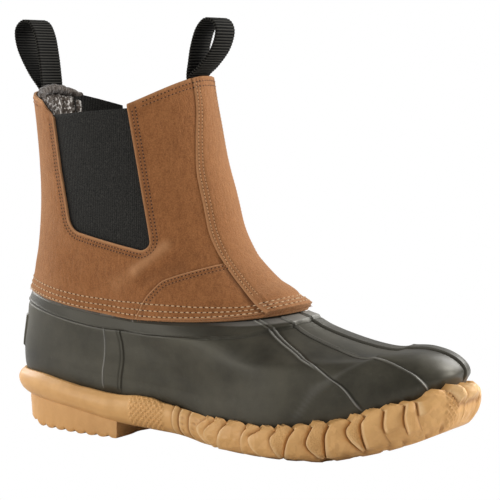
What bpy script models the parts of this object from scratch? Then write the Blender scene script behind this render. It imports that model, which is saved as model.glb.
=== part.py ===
"""Pull-on boot with a moulded rubber foot and a suede shaft, for the right foot.

Lengths in this script are millimetres, which new_object turns into metres.
+X runs to the toe, +Y to the inner (medial) side of the foot and +Z up from the floor.
The boot's surface is a stack of closed rings: a level counts the rows of SECTIONS from the
sole to the collar, and an angle runs round a ring from the front (0) by the outer side to the back (180).
"""
import math
from collections import namedtuple
from functools import lru_cache

import bpy
from mathutils import Vector

MM = 0.001
GAP = 0.3
SEAT_GAP = 0.6
RUBBER_WALL = 2.5
SUEDE_WALL = 2.0
OVERLAY_WALL = 1.4
GORE_WALL = 1.6
INSOLE_THICK = 4.5
INSOLE_CLEARANCE = 0.5

Height = namedtuple("Height", "x z")
Section = namedtuple(
    "Section", "name x_back z_back z_side x_front z_front front_rise heel waist ball arch roundness"
)
Column = namedtuple("Column", "name angle_rim angle_mid angle_top relief")
SoleRing = namedtuple("SoleRing", "name rise inset lobe_depth")
LoopPoint = namedtuple("LoopPoint", "outward up")
Corner = namedtuple("Corner", "x z radius")

# Heights along the foot, from the back of the sole's rim (x = 0) to the toe.
SOLE_FLOOR = (
    Height(0, 25.5), Height(60, 24), Height(100, 21), Height(140, 16.5), Height(180, 12),
    Height(215, 10.5), Height(250, 13.5), Height(280, 20), Height(300, 27), Height(318, 35),
)
SOLE_BOTTOM = (
    Height(0, 20), Height(60, 15), Height(90, 10.5), Height(121, 8), Height(137, 6.8), Height(160, 2.6),
    Height(172, 0.3), Height(182, 0), Height(235, 0), Height(256, 3.5), Height(274, 8),
    Height(293, 15), Height(308, 23), Height(318, 31),
)
SOLE_RIM_TOP = (
    Height(0, 37.5), Height(30, 38), Height(56, 35.5), Height(88, 30.5), Height(130, 27.5), Height(162, 20.5),
    Height(180, 21), Height(205, 21), Height(228, 22.8), Height(245, 26), Height(262, 31),
    Height(282, 38.2), Height(300, 45.2), Height(318, 50),
)

# Half-widths are taken at these fractions of a ring's length, counted from its back.
HEEL_AT = 0.18
WAIST_AT = 0.43
BALL_AT = 0.73
TOE_SWING = 8.0
SWING_START = 190.0
SWING_LENGTH = 120.0
BACK_RISE = 1.2

# The feather and rim rows take their heights from the sole's curves.
SECTIONS = (
    Section("feather", 8.0, None, None, 297.5, None, None, 31.0, 31.5, 44.0, 4.0, 2.5),
    Section("rim", 3.8, None, None, 304.0, None, None, 34.5, 37.0, 48.5, 4.0, 2.5),
    Section("low foot", 2.8, 49.0, 34.0, 305.0, 54.0, 1.7, 35.0, 38.0, 49.0, 3.0, 2.5),
    Section("toe roll", 3.4, 56.5, 42.0, 298.8, 60.5, 1.7, 35.0, 38.5, 48.5, 2.5, 2.5),
    Section("toe top", 4.2, 63.0, 49.5, 284.0, 64.6, 1.7, 35.0, 39.0, 47.5, 2.0, 2.4),
    Section("toe cap", 5.2, 70.5, 57.5, 260.0, 63.4, 1.8, 34.8, 39.0, 45.5, 1.0, 2.3),
    Section("vamp", 6.4, 79.0, 66.5, 231.0, 70.4, 2.2, 34.6, 39.0, 43.0, 0.0, 2.2),
    Section("joint", 10.2, 88.0, 75.6, 203.2, 82.0, 3.0, 33.2, 37.8, 38.8, 0.0, 2.15),
    Section("ankle bulge", 13.8, 98.5, 87.0, 186.0, 95.5, 2.2, 32.8, 38.2, 37.2, 0.0, 2.1),
    Section("instep", 16.8, 111.0, 102.0, 170.5, 108.5, 1.7, 32.2, 38.5, 35.8, 0.0, 2.1),
    Section("ankle", 19.4, 129.0, 122.0, 156.5, 125.5, 1.7, 31.8, 38.8, 35.5, 0.0, 2.1),
    Section("low shaft", 20.6, 149.0, 143.0, 149.5, 147.0, 1.7, 31.5, 39.2, 35.8, 0.0, 2.1),
    Section("middle shaft", 20.0, 172.0, 164.0, 142.6, 172.0, 1.7, 31.7, 40.0, 36.4, 0.0, 2.1),
    Section("high shaft", 18.2, 194.0, 183.0, 137.6, 198.0, 1.7, 32.0, 40.6, 36.8, 0.0, 2.1),
    Section("collar", 16.0, 214.0, 199.0, 133.2, 223.0, 1.6, 32.5, 41.0, 37.2, 0.0, 2.1),
)
RIM = 1.0
JOINT = 7.0
FLANGE_TOP = 8.0
COLLAR = len(SECTIONS) - 1.0

# Columns of the rubber shell's mesh on one side, with the height of the moulded ribs that run along them.
SHELL_COLUMNS = (
    Column("centre strip", 0, 0, 0, 1.0), Column("strip edge", 6, 6, 6, 1.0),
    Column("strip foot", 7, 7, 7.3, 0), Column("between", 12, 16, 13, 0),
    Column("mid rib foot", 18.5, 26, 18, 0), Column("mid rib", 20.5, 28.5, 20, 1.2),
    Column("mid rib foot", 22.5, 31, 22, 0), Column("between", 32, 40, 26, 0),
    Column("side rib foot", 41, 49, 31, 0), Column("side rib", 43.5, 51.5, 33.5, 1.4),
    Column("side rib foot", 46, 54, 36, 0), Column("side", 51.5, 58.5, 42, 0), Column("side", 57, 63, 48, 0),
    Column("side", 62.5, 67.5, 54, 0), Column("side", 68, 72, 60, 0), Column("side", 73.5, 77, 66, 0),
    Column("side", 79, 82, 72, 0), Column("side", 85, 87, 77.5, 0), Column("side", 89.5, 91, 81.5, 0),
    Column("side", 93.5, 94, 84.5, 0), Column("side", 98, 97.5, 87.5, 0), Column("side", 104.5, 102, 91, 0),
    Column("counter foot", 111, 108, 95, 0), Column("counter edge", 112, 109, 96, 0.8),
    Column("counter edge", 117.5, 115.5, 103, 0.8), Column("counter foot", 118.5, 116.5, 104, 0),
    Column("heel", 125, 123.5, 115, 0), Column("heel", 134, 133, 128, 0), Column("heel", 144, 143, 140, 0),
    Column("heel", 154, 154, 152, 0), Column("heel", 163, 163, 162, 0),
    Column("tab foot", 170, 170, 170, 0), Column("tab edge", 171.5, 171.5, 171.5, 0.9),
    Column("tab", 180, 180, 180, 0.9),
)
COLUMN_LEVELS = (1.0, 3.5, 6.5)
SHELL_OUTER_LEVELS = (
    0, 0.5, 1, 1.4, 1.7, 2.3, 3, 3.7, 4.4, 5.2, 6.06, 6.14, 6.5, 6.9, 6.95, 7.5, FLANGE_TOP
)
SHELL_INNER_LEVELS = (FLANGE_TOP, 7.3, 6.5, 5.6, 4.7, 3.8, 2.9, 2.0, 1.0, 0.5, 0)
BAND_RELIEF = 1.5
BAND_LEVELS = (6.1, 6.92)
FLANGE_SET_BACK = 0.4
RIB_LEVELS = (1.5, 6.1)
TAB_LEVELS = (2.0, 5.4)

SHAFT_COLUMNS = 40
SHAFT_LEVELS = (JOINT, 7.5, 8, 8.5, 9, 9.6, 10.3, 11, 12, 13, COLLAR)

# Side of the sole from the tread to the lip: a rise is a fraction of the wall's height.
SOLE_OUTLINE = Section("sole", 0.0, None, None, 312.5, None, None, 39.0, 42.5, 56.0, 6.0, 2.5)
SOLE_RINGS = (
    SoleRing("tread edge", 0.08, 5.0, 1.2), SoleRing("flare", 0.28, 1.0, 2.2),
    SoleRing("belly", 0.58, 0.0, 2.2), SoleRing("shoulder", 0.88, 0.8, 1.6),
    SoleRing("lip", 1.0, 3.0, 0.6),
)
TREAD_INSET = 15.0
LOBE_PITCH = 13.6
LOBES_PER_SIDE = 14
LOBE_COLUMNS = (0.0, 0.24, 0.76)
LOBE_TOP_DROP = 3.0
LOBE_TOP_RISE = 1.2
PLAIN_PITCH = 9.0

HEEL_FRONT = 92.0
HEEL_INSET = 5.5
HEEL_DRAFT = 1.2
HEEL_TOP = 19.0
HEEL_BEVEL = 3.0
HEEL_BEVEL_LENGTH = 15.0

GROOVE_WIDTH = 3.6
GROOVE_DEPTH = 3.6
GROOVE_WAVE = 2.6
GROOVE_WAVE_LENGTH = 36.0
GROOVE_STEPS = 12
GROOVE_REACH = 64.0
HEEL_GROOVES = (25.0, 39.0, 53.0, 67.0, 81.0)
FOREFOOT_FIRST_GROOVE = 165.0
FOREFOOT_GROOVE_PITCH = 13.0
FOREFOOT_GROOVES = 11

# Side view of the elastic panel's notch, open at the collar.
NOTCH = (
    Corner(50, 207, 0), Corner(56, 165, 0), Corner(63.5, 128, 12), Corner(122, 115.5, 6),
    Corner(103.5, 207, 0),
)
GORE_MARGIN = 7.0
GORE_TOP = (Height(50, 199.5), Height(103.5, 204))
GORE_LEVELS = (9.4, 10, 10.7, 11.4, 12.2, 13, COLLAR + 0.5)

# Half-width of the front strip against height, and the side view of the edge of the panels beside it.
STRIP_EDGE = (
    Height(11.5, 235), Height(11.5, 210), Height(15, 185), Height(18, 160), Height(18.5, 130),
    Height(19.5, 108), Height(22, 85), Height(23, 70),
)
PANEL_EDGE = (
    Height(110, 66), Height(113, 80), Height(119, 89), Height(128, 97), Height(143, 104), Height(160, 110),
    Height(180, 118),
)
PANEL_FAR_X = 240.0
OVERLAY_LOW = 7.06
PANEL_LEVELS = (OVERLAY_LOW, 7.5, 8, 8.5, 9, 9.6, 10.4)
STRIP_LEVELS = (OVERLAY_LOW, 7.5, 8, 8.5, 9, 9.6, 10.3, 11, 12, 13, COLLAR)

# Side view of the webbing above the collar: up the leaf by the lining, over the top, down to the suede.
FRONT_LOOP = (
    LoopPoint(-1.6, 8), LoopPoint(-0.4, 18.5), LoopPoint(2.6, 28.5), LoopPoint(8.2, 34.5),
    LoopPoint(14.2, 33.5), LoopPoint(16.8, 27), LoopPoint(13.8, 16.5), LoopPoint(6.6, 7),
)
BACK_LOOP = (
    LoopPoint(-1.9, 9), LoopPoint(-1.0, 22), LoopPoint(1.2, 34), LoopPoint(5.5, 42.5), LoopPoint(12.0, 44),
    LoopPoint(17.0, 38), LoopPoint(15.0, 26), LoopPoint(7.4, 11),
)
LOOP_WIDTH = 22.0
LOOP_THICK = 1.4
LOOP_TUCK = 13.0
LOOP_ACROSS = 4
LOOP_STEPS = 2
LOOP_BOW_RADIUS = 30.0
LOOP_BOW_FADE = 30.0


def smooth(value):
    """Ease from 0 to 1 for a value between 0 and 1."""
    clamped = min(max(value, 0.0), 1.0)
    return clamped * clamped * (3.0 - 2.0 * clamped)


def blend(before, start, end, after, fraction):
    """Catmull-Rom blend from start to end; works on numbers and on vectors."""
    pull_start = (end - before) * 0.5
    pull_end = (after - start) * 0.5
    cube = 2 * start - 2 * end + pull_start + pull_end
    square = -3 * start + 3 * end - 2 * pull_start - pull_end
    return start + pull_start * fraction + square * fraction ** 2 + cube * fraction ** 3


def height_at(rows, x):
    """Height of a smooth curve through rows of (x, z) with no overshoot."""
    if x <= rows[0].x:
        return rows[0].z
    for left, right in zip(rows, rows[1:]):
        if x <= right.x:
            straight = (x - left.x) / (right.x - left.x)
            eased = 0.7 * straight + 0.3 * smooth(straight)
            return left.z + (right.z - left.z) * eased
    return rows[-1].z


def end_curve(along, roundness):
    """Superellipse that closes a ring at both ends."""
    return max(1.0 - abs(2.0 * along - 1.0) ** roundness, 0.0) ** (1.0 / roundness)


def half_width(section, along, medial):
    """Half-width of a ring at a fraction of its length from the back."""
    heel = section.heel / end_curve(HEEL_AT, section.roundness)
    waist = (section.waist - (section.arch if medial else 0.0)) / end_curve(WAIST_AT, section.roundness)
    ball = section.ball / end_curve(BALL_AT, section.roundness)
    to_waist = smooth((along - HEEL_AT) / (WAIST_AT - HEEL_AT))
    to_ball = smooth((along - WAIST_AT) / (BALL_AT - WAIST_AT))
    width = heel + (waist - heel) * to_waist + (ball - waist) * to_ball
    return width * end_curve(along, section.roundness)


def plan_point(section, angle):
    """X and Y of a ring at an angle in degrees."""
    turn = math.radians(angle)
    along = 0.5 + 0.5 * math.cos(turn)
    medial = math.sin(turn) < 0
    side = 1.0 if medial else -1.0
    x = section.x_back + (section.x_front - section.x_back) * along
    swing = TOE_SWING * smooth((x - SWING_START) / SWING_LENGTH)
    return x, side * half_width(section, along, medial) + swing


@lru_cache(maxsize=None)
def ring_point(index, angle):
    """Point on one row of SECTIONS."""
    section = SECTIONS[index]
    x, y = plan_point(section, angle)
    if section.name == "feather":
        return Vector((x, y, height_at(SOLE_FLOOR, x) + GAP))
    if section.name == "rim":
        return Vector((x, y, height_at(SOLE_RIM_TOP, x) - 0.5))
    lean = math.cos(math.radians(angle))
    rise = (section.z_front - section.z_side) * max(lean, 0.0) ** section.front_rise
    rise += (section.z_back - section.z_side) * max(-lean, 0.0) ** BACK_RISE
    return Vector((x, y, section.z_side + rise))


def last_point(level, angle):
    """Point on the boot's reference surface: the outside of the rubber and 0.3 mm inside the suede."""
    low = min(int(level), len(SECTIONS) - 2)
    start = ring_point(low, angle)
    end = ring_point(low + 1, angle)
    before = ring_point(low - 1, angle) if low else 2 * start - end
    after = ring_point(low + 2, angle) if low + 2 < len(SECTIONS) else 2 * end - start
    return blend(before, start, end, after, level - low)


def last_normal(level, angle):
    """Outward unit normal of the reference surface."""
    step = 0.02
    turn = 0.5
    up = last_point(level + step, angle) - last_point(max(level - step, 0.0), angle)
    around = last_point(level, angle + turn) - last_point(level, angle - turn)
    return up.cross(around).normalized()


def offset_ring(level, angles, offset):
    """Ring of points a distance outside (or inside, if negative) the reference surface."""
    return [last_point(level, angle) + last_normal(level, angle) * offset for angle in angles]


def feather_point(angle, outward, height):
    """Point level with the sole's floor, moved outward from the shell's lower edge and raised."""
    out = last_normal(0.0, angle)
    place = last_point(0.0, angle) + Vector((out.x, out.y, 0.0)).normalized() * outward
    place.z = height_at(SOLE_FLOOR, place.x) + height
    return place


def even_angles(count):
    """Angles of a ring with evenly spread columns."""
    return [360.0 * index / count for index in range(count)]


def new_material(name, colour, roughness):
    """Principled material with one colour."""
    material = bpy.data.materials.new(name)
    material.use_nodes = True
    shader = material.node_tree.nodes["Principled BSDF"]
    shader.inputs["Base Color"].default_value = (*colour, 1.0)
    shader.inputs["Roughness"].default_value = roughness
    shader.inputs["Metallic"].default_value = 0.0
    return material


def new_object(name, points, faces, material, boot):
    """Mesh object under the boot's empty, from points in millimetres."""
    mesh = bpy.data.meshes.new(name)
    mesh.from_pydata([tuple(point * MM) for point in points], [], faces)
    mesh.update()
    item = bpy.data.objects.new(name, mesh)
    bpy.context.collection.objects.link(item)
    item.parent = boot
    if material:
        mesh.materials.append(material)
    return item


def new_cutter(name, points, faces, boot):
    """Mesh that only cuts others."""
    cutter = new_object(name, points, faces, None, boot)
    cutter.hide_render = True
    cutter.display_type = "WIRE"
    return cutter


def apply_cutter(item, cutter, operation):
    """Boolean modifier with the exact solver."""
    modifier = item.modifiers.new(cutter.name, "BOOLEAN")
    modifier.operation = operation
    modifier.solver = "EXACT"
    modifier.object = cutter


def bridge(rings, closed):
    """Points and quads of a stack of equal rings; a closed stack joins its last ring to its first."""
    count = len(rings[0])
    points = [point for ring in rings for point in ring]
    faces = []
    last = len(rings) if closed else len(rings) - 1
    for low in range(last):
        high = (low + 1) % len(rings)
        for column in range(count):
            beside = (column + 1) % count
            faces.append((
                low * count + column, high * count + column,
                high * count + beside, low * count + beside,
            ))
    return points, faces


def cap(start, count, downward):
    """Strip of quads across a ring whose columns are mirrored about the boot's length."""
    half = count // 2
    faces = []
    for column in range(half):
        ahead = start + column
        behind = start + column + 1
        mirror_behind = start + (count - column - 1) % count
        mirror_ahead = start + (count - column) % count
        corners = [ahead, behind, mirror_behind, mirror_ahead]
        corners = [corner for index, corner in enumerate(corners) if corner not in corners[:index]]
        faces.append(tuple(corners if downward else reversed(corners)))
    return faces


def prism(outline, axis, near, far):
    """Closed prism of a plane outline, run along the X or Y axis."""
    count = len(outline)
    points = []
    for reach in (near, far):
        for first, second in outline:
            place = (reach, first, second) if axis == "X" else (first, reach, second)
            points.append(Vector(place))
    faces = [tuple(range(count)), tuple(reversed(range(count, 2 * count)))]
    for index in range(count):
        beside = (index + 1) % count
        faces.append((index, index + count, beside + count, beside))
    doubled_area = sum(
        outline[i][0] * outline[(i + 1) % count][1] - outline[(i + 1) % count][0] * outline[i][1]
        for i in range(count)
    )
    inward = (doubled_area > 0) == (axis == "X")
    return points, [tuple(reversed(face)) for face in faces] if inward else faces


def rounded_outline(corners, steps=5):
    """Outline with arcs at the corners that have a radius."""
    outline = []
    for index, corner in enumerate(corners):
        here = Vector((corner.x, corner.z))
        if not corner.radius:
            outline.append(here)
            continue
        before = corners[index - 1]
        after = corners[(index + 1) % len(corners)]
        to_before = (Vector((before.x, before.z)) - here).normalized()
        to_after = (Vector((after.x, after.z)) - here).normalized()
        half_angle = to_before.angle(to_after) / 2.0
        middle = (to_before + to_after).normalized()
        centre = here + middle * (corner.radius / math.sin(half_angle))
        start = here + to_before * (corner.radius / math.tan(half_angle)) - centre
        end = here + to_after * (corner.radius / math.tan(half_angle)) - centre
        for step in range(steps + 1):
            spoke = start.lerp(end, step / steps)
            outline.append(centre + spoke.normalized() * corner.radius)
    return [tuple(point) for point in outline]


def strip_outline(margin):
    """Front view of the front strip, widened by a margin."""
    right = [(row.x + margin, row.z) for row in STRIP_EDGE]
    left = [(-y, z) for y, z in reversed(right)]
    return right + left


def wall(name, levels, inside, outside, material, boot):
    """Tube of the boot's surface between two offsets, open at both ends."""
    angles = even_angles(SHAFT_COLUMNS)
    rings = [offset_ring(level, angles, outside) for level in levels]
    rings += [offset_ring(level, angles, inside) for level in reversed(levels)]
    points, faces = bridge(rings, closed=True)
    return new_object(name, points, faces, material, boot)


def shell_relief(column, level):
    """Height of the moulded ribs and band on the rubber at a column and level; the flange is set back."""
    if BAND_LEVELS[0] < level < BAND_LEVELS[1]:
        return BAND_RELIEF
    if level > BAND_LEVELS[1]:
        return -FLANGE_SET_BACK
    lowest, highest = TAB_LEVELS if column.name.startswith("tab") else RIB_LEVELS
    return column.relief if lowest < level < highest else 0.0


def make_rubber_shell(material, boot):
    """Hollow moulded foot with its ribs as steps in the wall."""
    columns = [(column, 1.0) for column in SHELL_COLUMNS]
    columns += [(column, -1.0) for column in reversed(SHELL_COLUMNS[1:-1])]

    def angle_of(column, side, level):
        rim, mid, top = COLUMN_LEVELS
        here = min(max(level, rim), top)
        angle = column.angle_rim * (here - mid) * (here - top) / ((rim - mid) * (rim - top))
        angle += column.angle_mid * (here - rim) * (here - top) / ((mid - rim) * (mid - top))
        angle += column.angle_top * (here - rim) * (here - mid) / ((top - rim) * (top - mid))
        return side * angle % 360.0

    rings = []
    for level in SHELL_OUTER_LEVELS:
        ring = []
        for column, side in columns:
            angle = angle_of(column, side, level)
            ring.append(last_point(level, angle) + last_normal(level, angle) * shell_relief(column, level))
        rings.append(ring)
    for level in SHELL_INNER_LEVELS:
        angles = [angle_of(column, side, level) for column, side in columns]
        rings.append(offset_ring(level, angles, -RUBBER_WALL))
    points, faces = bridge(rings, closed=True)
    return new_object("rubber_shell", points, faces, material, boot)


def sole_columns():
    """Angle and lobe phase of the sole's columns on one side; the phase is None off the lobes."""
    fine = [index * 0.5 for index in range(361)]
    plan = [Vector(plan_point(SOLE_OUTLINE, angle)) for angle in fine]
    lengths = [0.0]
    for start, end in zip(plan, plan[1:]):
        lengths.append(lengths[-1] + (end - start).length)

    def angle_at(length):
        for index, reached in enumerate(lengths[1:], 1):
            if reached >= length:
                share = (length - lengths[index - 1]) / (reached - lengths[index - 1])
                return fine[index - 1] + 0.5 * share
        return 180.0

    columns = []
    for lobe in range(LOBES_PER_SIDE):
        for phase in LOBE_COLUMNS:
            columns.append((angle_at((lobe + phase) * LOBE_PITCH), phase))
    plain_start = LOBES_PER_SIDE * LOBE_PITCH
    plain_count = round((lengths[-1] - plain_start) / PLAIN_PITCH)
    for index in range(plain_count):
        columns.append((angle_at(plain_start + index * (lengths[-1] - plain_start) / plain_count), None))
    columns.append((180.0, None))
    return columns


def inset_plan(angle, inset):
    """X and Y of the sole's outline moved inward."""
    turn = 0.4
    ahead = Vector(plan_point(SOLE_OUTLINE, angle - turn))
    behind = Vector(plan_point(SOLE_OUTLINE, angle + turn))
    along = (behind - ahead).normalized()
    inward = Vector((along.y, -along.x))
    return Vector(plan_point(SOLE_OUTLINE, angle)) + inward * inset


def make_outsole(material, boot):
    """Cup sole: tread, lobed side, lip, and a seat and floor that clear the rubber shell."""
    one_side = sole_columns()
    columns = one_side + [((360.0 - angle) % 360.0, phase) for angle, phase in reversed(one_side[1:-1])]

    def tread_point(angle, inset):
        place = inset_plan(angle, inset)
        return Vector((*place, height_at(SOLE_BOTTOM, place.x)))

    def side_point(angle, phase, ring):
        grooved = phase == 0.0
        place = inset_plan(angle, ring.inset + (ring.lobe_depth if grooved else 0.0))
        foot = inset_plan(angle, 0.0)
        bottom = height_at(SOLE_BOTTOM, place.x)
        top = height_at(SOLE_RIM_TOP, foot.x)
        if phase is not None:
            top += -LOBE_TOP_DROP if grooved else LOBE_TOP_RISE
        return Vector((*place, bottom + (top - bottom) * ring.rise))

    angles = [angle for angle, phase in columns]
    rings = [[tread_point(angle, TREAD_INSET) for angle in angles]]
    for ring in SOLE_RINGS:
        rings.append([side_point(angle, phase, ring) for angle, phase in columns])
    rings.append(offset_ring(RIM, angles, SEAT_GAP))
    rings.append(offset_ring(0.5, angles, SEAT_GAP))
    rings.append([feather_point(angle, SEAT_GAP, 0.0) for angle in angles])
    points, faces = bridge(rings, closed=False)
    count = len(columns)
    faces += cap(0, count, downward=True)
    faces += cap((len(rings) - 1) * count, count, downward=False)
    sole = new_object("outsole", points, faces, material, boot)
    apply_cutter(sole, make_heel_block(boot), "UNION")
    apply_cutter(sole, make_grooves(boot), "DIFFERENCE")
    return sole


def make_heel_block(boot):
    """Block under the heel with a bevelled rear edge and a straight front."""
    rear = [angle for angle in even_angles(72) if inset_plan(angle, HEEL_INSET).x < HEEL_FRONT - 4.0]
    first = inset_plan(rear[0], HEEL_INSET)
    last = inset_plan(rear[-1], HEEL_INSET)
    top = [inset_plan(angle, HEEL_INSET) for angle in rear]
    top = [Vector((HEEL_FRONT, first.y))] + top + [Vector((HEEL_FRONT, last.y))]
    inside = Vector((HEEL_FRONT / 2.0, 0.0))
    rings = [[], []]
    for place in top:
        drawn = place + (inside - place).normalized() * HEEL_DRAFT
        bevel = HEEL_BEVEL * smooth((HEEL_INSET + HEEL_BEVEL_LENGTH - place.x) / HEEL_BEVEL_LENGTH)
        rings[0].append(Vector((*drawn, bevel)))
        rings[1].append(Vector((*place, HEEL_TOP)))
    points, faces = bridge(rings, closed=False)
    count = len(top)
    for column in range(count // 2 - 1):
        mirror = count - 1 - column
        faces.append((column, column + 1, mirror - 1, mirror))
        faces.append((count + mirror, count + mirror - 1, count + column + 1, count + column))
    if count % 2:
        middle = count // 2
        faces.append((middle - 1, middle, middle + 1))
        faces.append((count + middle + 1, count + middle, count + middle - 1))
    return new_cutter("heel_block", points, faces, boot)


def make_grooves(boot):
    """Wavy channels across the tread, all in one cutter."""
    places = list(HEEL_GROOVES)
    places += [FOREFOOT_FIRST_GROOVE + FOREFOOT_GROOVE_PITCH * index for index in range(FOREFOOT_GROOVES)]
    points = []
    faces = []
    for x in places:
        bottom = 0.0 if x < HEEL_FRONT else height_at(SOLE_BOTTOM, x)
        rings = []
        for step in range(GROOVE_STEPS + 1):
            y = GROOVE_REACH * (2.0 * step / GROOVE_STEPS - 1.0)
            middle = x + GROOVE_WAVE * math.sin(2.0 * math.pi * y / GROOVE_WAVE_LENGTH)
            back = middle - GROOVE_WIDTH / 2.0
            front = middle + GROOVE_WIDTH / 2.0
            rings.append([
                Vector((back, y, bottom + GROOVE_DEPTH)), Vector((back, y, bottom - 12.0)),
                Vector((front, y, bottom - 12.0)), Vector((front, y, bottom + GROOVE_DEPTH)),
            ])
        start = len(points)
        new_points, new_faces = bridge(rings, closed=False)
        end = start + 4 * GROOVE_STEPS
        points += new_points
        faces += [tuple(start + corner for corner in face) for face in new_faces]
        faces.append((start, start + 1, start + 2, start + 3))
        faces.append((end + 3, end + 2, end + 1, end))
    return new_cutter("tread_grooves", points, faces, boot)


def make_insole(material, boot):
    """Footbed lying on the sole's floor inside the rubber shell."""
    angles = even_angles(48)
    rings = []
    for height in (GAP, GAP + INSOLE_THICK):
        ring = []
        for angle in angles:
            out = last_normal(0.0, angle)
            wall_across = RUBBER_WALL / math.hypot(out.x, out.y)
            ring.append(feather_point(angle, -wall_across - INSOLE_CLEARANCE, height))
        rings.append(ring)
    points, faces = bridge(rings, closed=False)
    faces += cap(0, len(angles), downward=True)
    faces += cap(len(angles), len(angles), downward=False)
    return new_object("insole", points, faces, material, boot)


def make_shaft(material, boot):
    """Hollow suede shaft with a notch on each side."""
    shaft = wall("suede_shaft", SHAFT_LEVELS, GAP, GAP + SUEDE_WALL, material, boot)
    points, faces = prism(rounded_outline(NOTCH), "Y", -90.0, 90.0)
    apply_cutter(shaft, new_cutter("gore_notch", points, faces, boot), "DIFFERENCE")
    return shaft


def make_gore(name, side, material, boot):
    """Elastic panel behind one notch, wider than the notch by a margin."""
    gore = wall(name, GORE_LEVELS, -GORE_WALL, 0.0, material, boot)
    side_back, low_back, low_front = NOTCH[1:4]
    slope = (GORE_TOP[1].z - GORE_TOP[0].z) / (GORE_TOP[1].x - GORE_TOP[0].x)
    rise = slope * GORE_MARGIN
    wider = (
        Corner(GORE_TOP[0].x - GORE_MARGIN, GORE_TOP[0].z - rise, 0),
        Corner(side_back.x - GORE_MARGIN, side_back.z, 0),
        Corner(low_back.x - GORE_MARGIN, low_back.z - GORE_MARGIN, 14),
        Corner(low_front.x + GORE_MARGIN, low_front.z - GORE_MARGIN, 8),
        Corner(GORE_TOP[1].x + GORE_MARGIN, GORE_TOP[1].z + rise, 0),
    )
    points, faces = prism(rounded_outline(wider), "Y", side * 10.0, side * 90.0)
    if side < 0:
        faces = [tuple(reversed(face)) for face in faces]
    apply_cutter(gore, new_cutter(name + "_outline", points, faces, boot), "INTERSECT")
    return gore


def make_front_strip(material, boot):
    """Strip over the front of the shaft."""
    low = GAP + SUEDE_WALL + GAP
    strip = wall("front_strip", STRIP_LEVELS, low, low + OVERLAY_WALL, material, boot)
    points, faces = prism(strip_outline(0.0), "X", 95.0, PANEL_FAR_X)
    apply_cutter(strip, new_cutter("strip_outline", points, faces, boot), "INTERSECT")
    return strip


def make_side_panel(name, side, material, boot):
    """Panel beside the throat, from the strip's edge down to the shaft's lower edge."""
    low = GAP + SUEDE_WALL + GAP
    panel = wall(name, PANEL_LEVELS, low, low + OVERLAY_WALL, material, boot)
    outline = [(row.x, row.z) for row in PANEL_EDGE]
    outline += [(PANEL_FAR_X, PANEL_EDGE[-1].z + 20.0), (PANEL_FAR_X, PANEL_EDGE[0].z)]
    points, faces = prism(outline, "Y", side * 5.0, side * 90.0)
    if side < 0:
        faces = [tuple(reversed(face)) for face in faces]
    apply_cutter(panel, new_cutter(name + "_outline", points, faces, boot), "INTERSECT")
    points, faces = prism(strip_outline(GAP), "X", 95.0, PANEL_FAR_X)
    apply_cutter(panel, new_cutter(name + "_front", points, faces, boot), "DIFFERENCE")
    return panel


def loop_path(rows, angle, direction):
    """Centre line of a loop in side view: tucked leaf, loop and tucked leaf, as (x, z)."""
    collar = last_point(COLLAR, angle)
    below = last_point(COLLAR - 0.7, angle)
    slope = (collar.x - below.x) / (collar.z - below.z)
    inner = direction * -(1.5 * LOOP_THICK + GAP)
    outer = direction * -0.5 * LOOP_THICK

    def tucked(offset, drop):
        return Vector((collar.x + offset - slope * drop, collar.z - drop))

    knots = [tucked(inner, LOOP_TUCK), tucked(inner, LOOP_TUCK / 2.0), tucked(inner, 0.0)]
    knots += [Vector((collar.x + direction * row.outward, collar.z + row.up)) for row in rows]
    knots += [tucked(outer, 0.0), tucked(outer, LOOP_TUCK / 2.0), tucked(outer, LOOP_TUCK)]
    path = []
    for index in range(len(knots) - 1):
        before = knots[max(index - 1, 0)]
        after = knots[min(index + 2, len(knots) - 1)]
        for step in range(LOOP_STEPS):
            path.append(blend(before, knots[index], knots[index + 1], after, step / LOOP_STEPS))
    path.append(knots[-1])
    return path, collar.z


def make_pull_loop(name, rows, angle, direction, material, boot):
    """Flat webbing folded to a loop, bowed where it follows the collar."""
    path, collar_z = loop_path(rows, angle, direction)
    rings = []
    for index, place in enumerate(path):
        along = (path[min(index + 1, len(path) - 1)] - path[max(index - 1, 0)]).normalized()
        across = Vector((-along.y, along.x)) * (LOOP_THICK / 2.0)
        fade = 1.0 - 0.7 * smooth((place.y - collar_z) / LOOP_BOW_FADE)
        faces_of_band = []
        for step in range(LOOP_ACROSS + 1):
            y = LOOP_WIDTH * (step / LOOP_ACROSS - 0.5)
            bow = -direction * fade * y * y / (2.0 * LOOP_BOW_RADIUS)
            faces_of_band.append((place.x + bow, y, place.y))
        upper = [Vector((x + across.x, y, z + across.y)) for x, y, z in faces_of_band]
        lower = [Vector((x - across.x, y, z - across.y)) for x, y, z in reversed(faces_of_band)]
        rings.append(upper + lower)
    points, faces = bridge(rings, closed=False)
    count = len(rings[0])
    last = (len(rings) - 1) * count
    for column in range(LOOP_ACROSS):
        mirror = count - 1 - column
        faces.append((column, column + 1, mirror - 1, mirror))
        faces.append((last + mirror, last + mirror - 1, last + column + 1, last + column))
    return new_object(name, points, faces, material, boot)


def centre_on_floor(boot, items):
    """Move the boot so that the middle of its box's underside is the world's origin."""
    heel_bottom = 0.0
    places = [vertex.co for item in items for vertex in item.data.vertices]
    middle_x = (min(place.x for place in places) + max(place.x for place in places)) / 2.0
    middle_y = (min(place.y for place in places) + max(place.y for place in places)) / 2.0
    boot.location = (-middle_x, -middle_y, heel_bottom)


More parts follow.
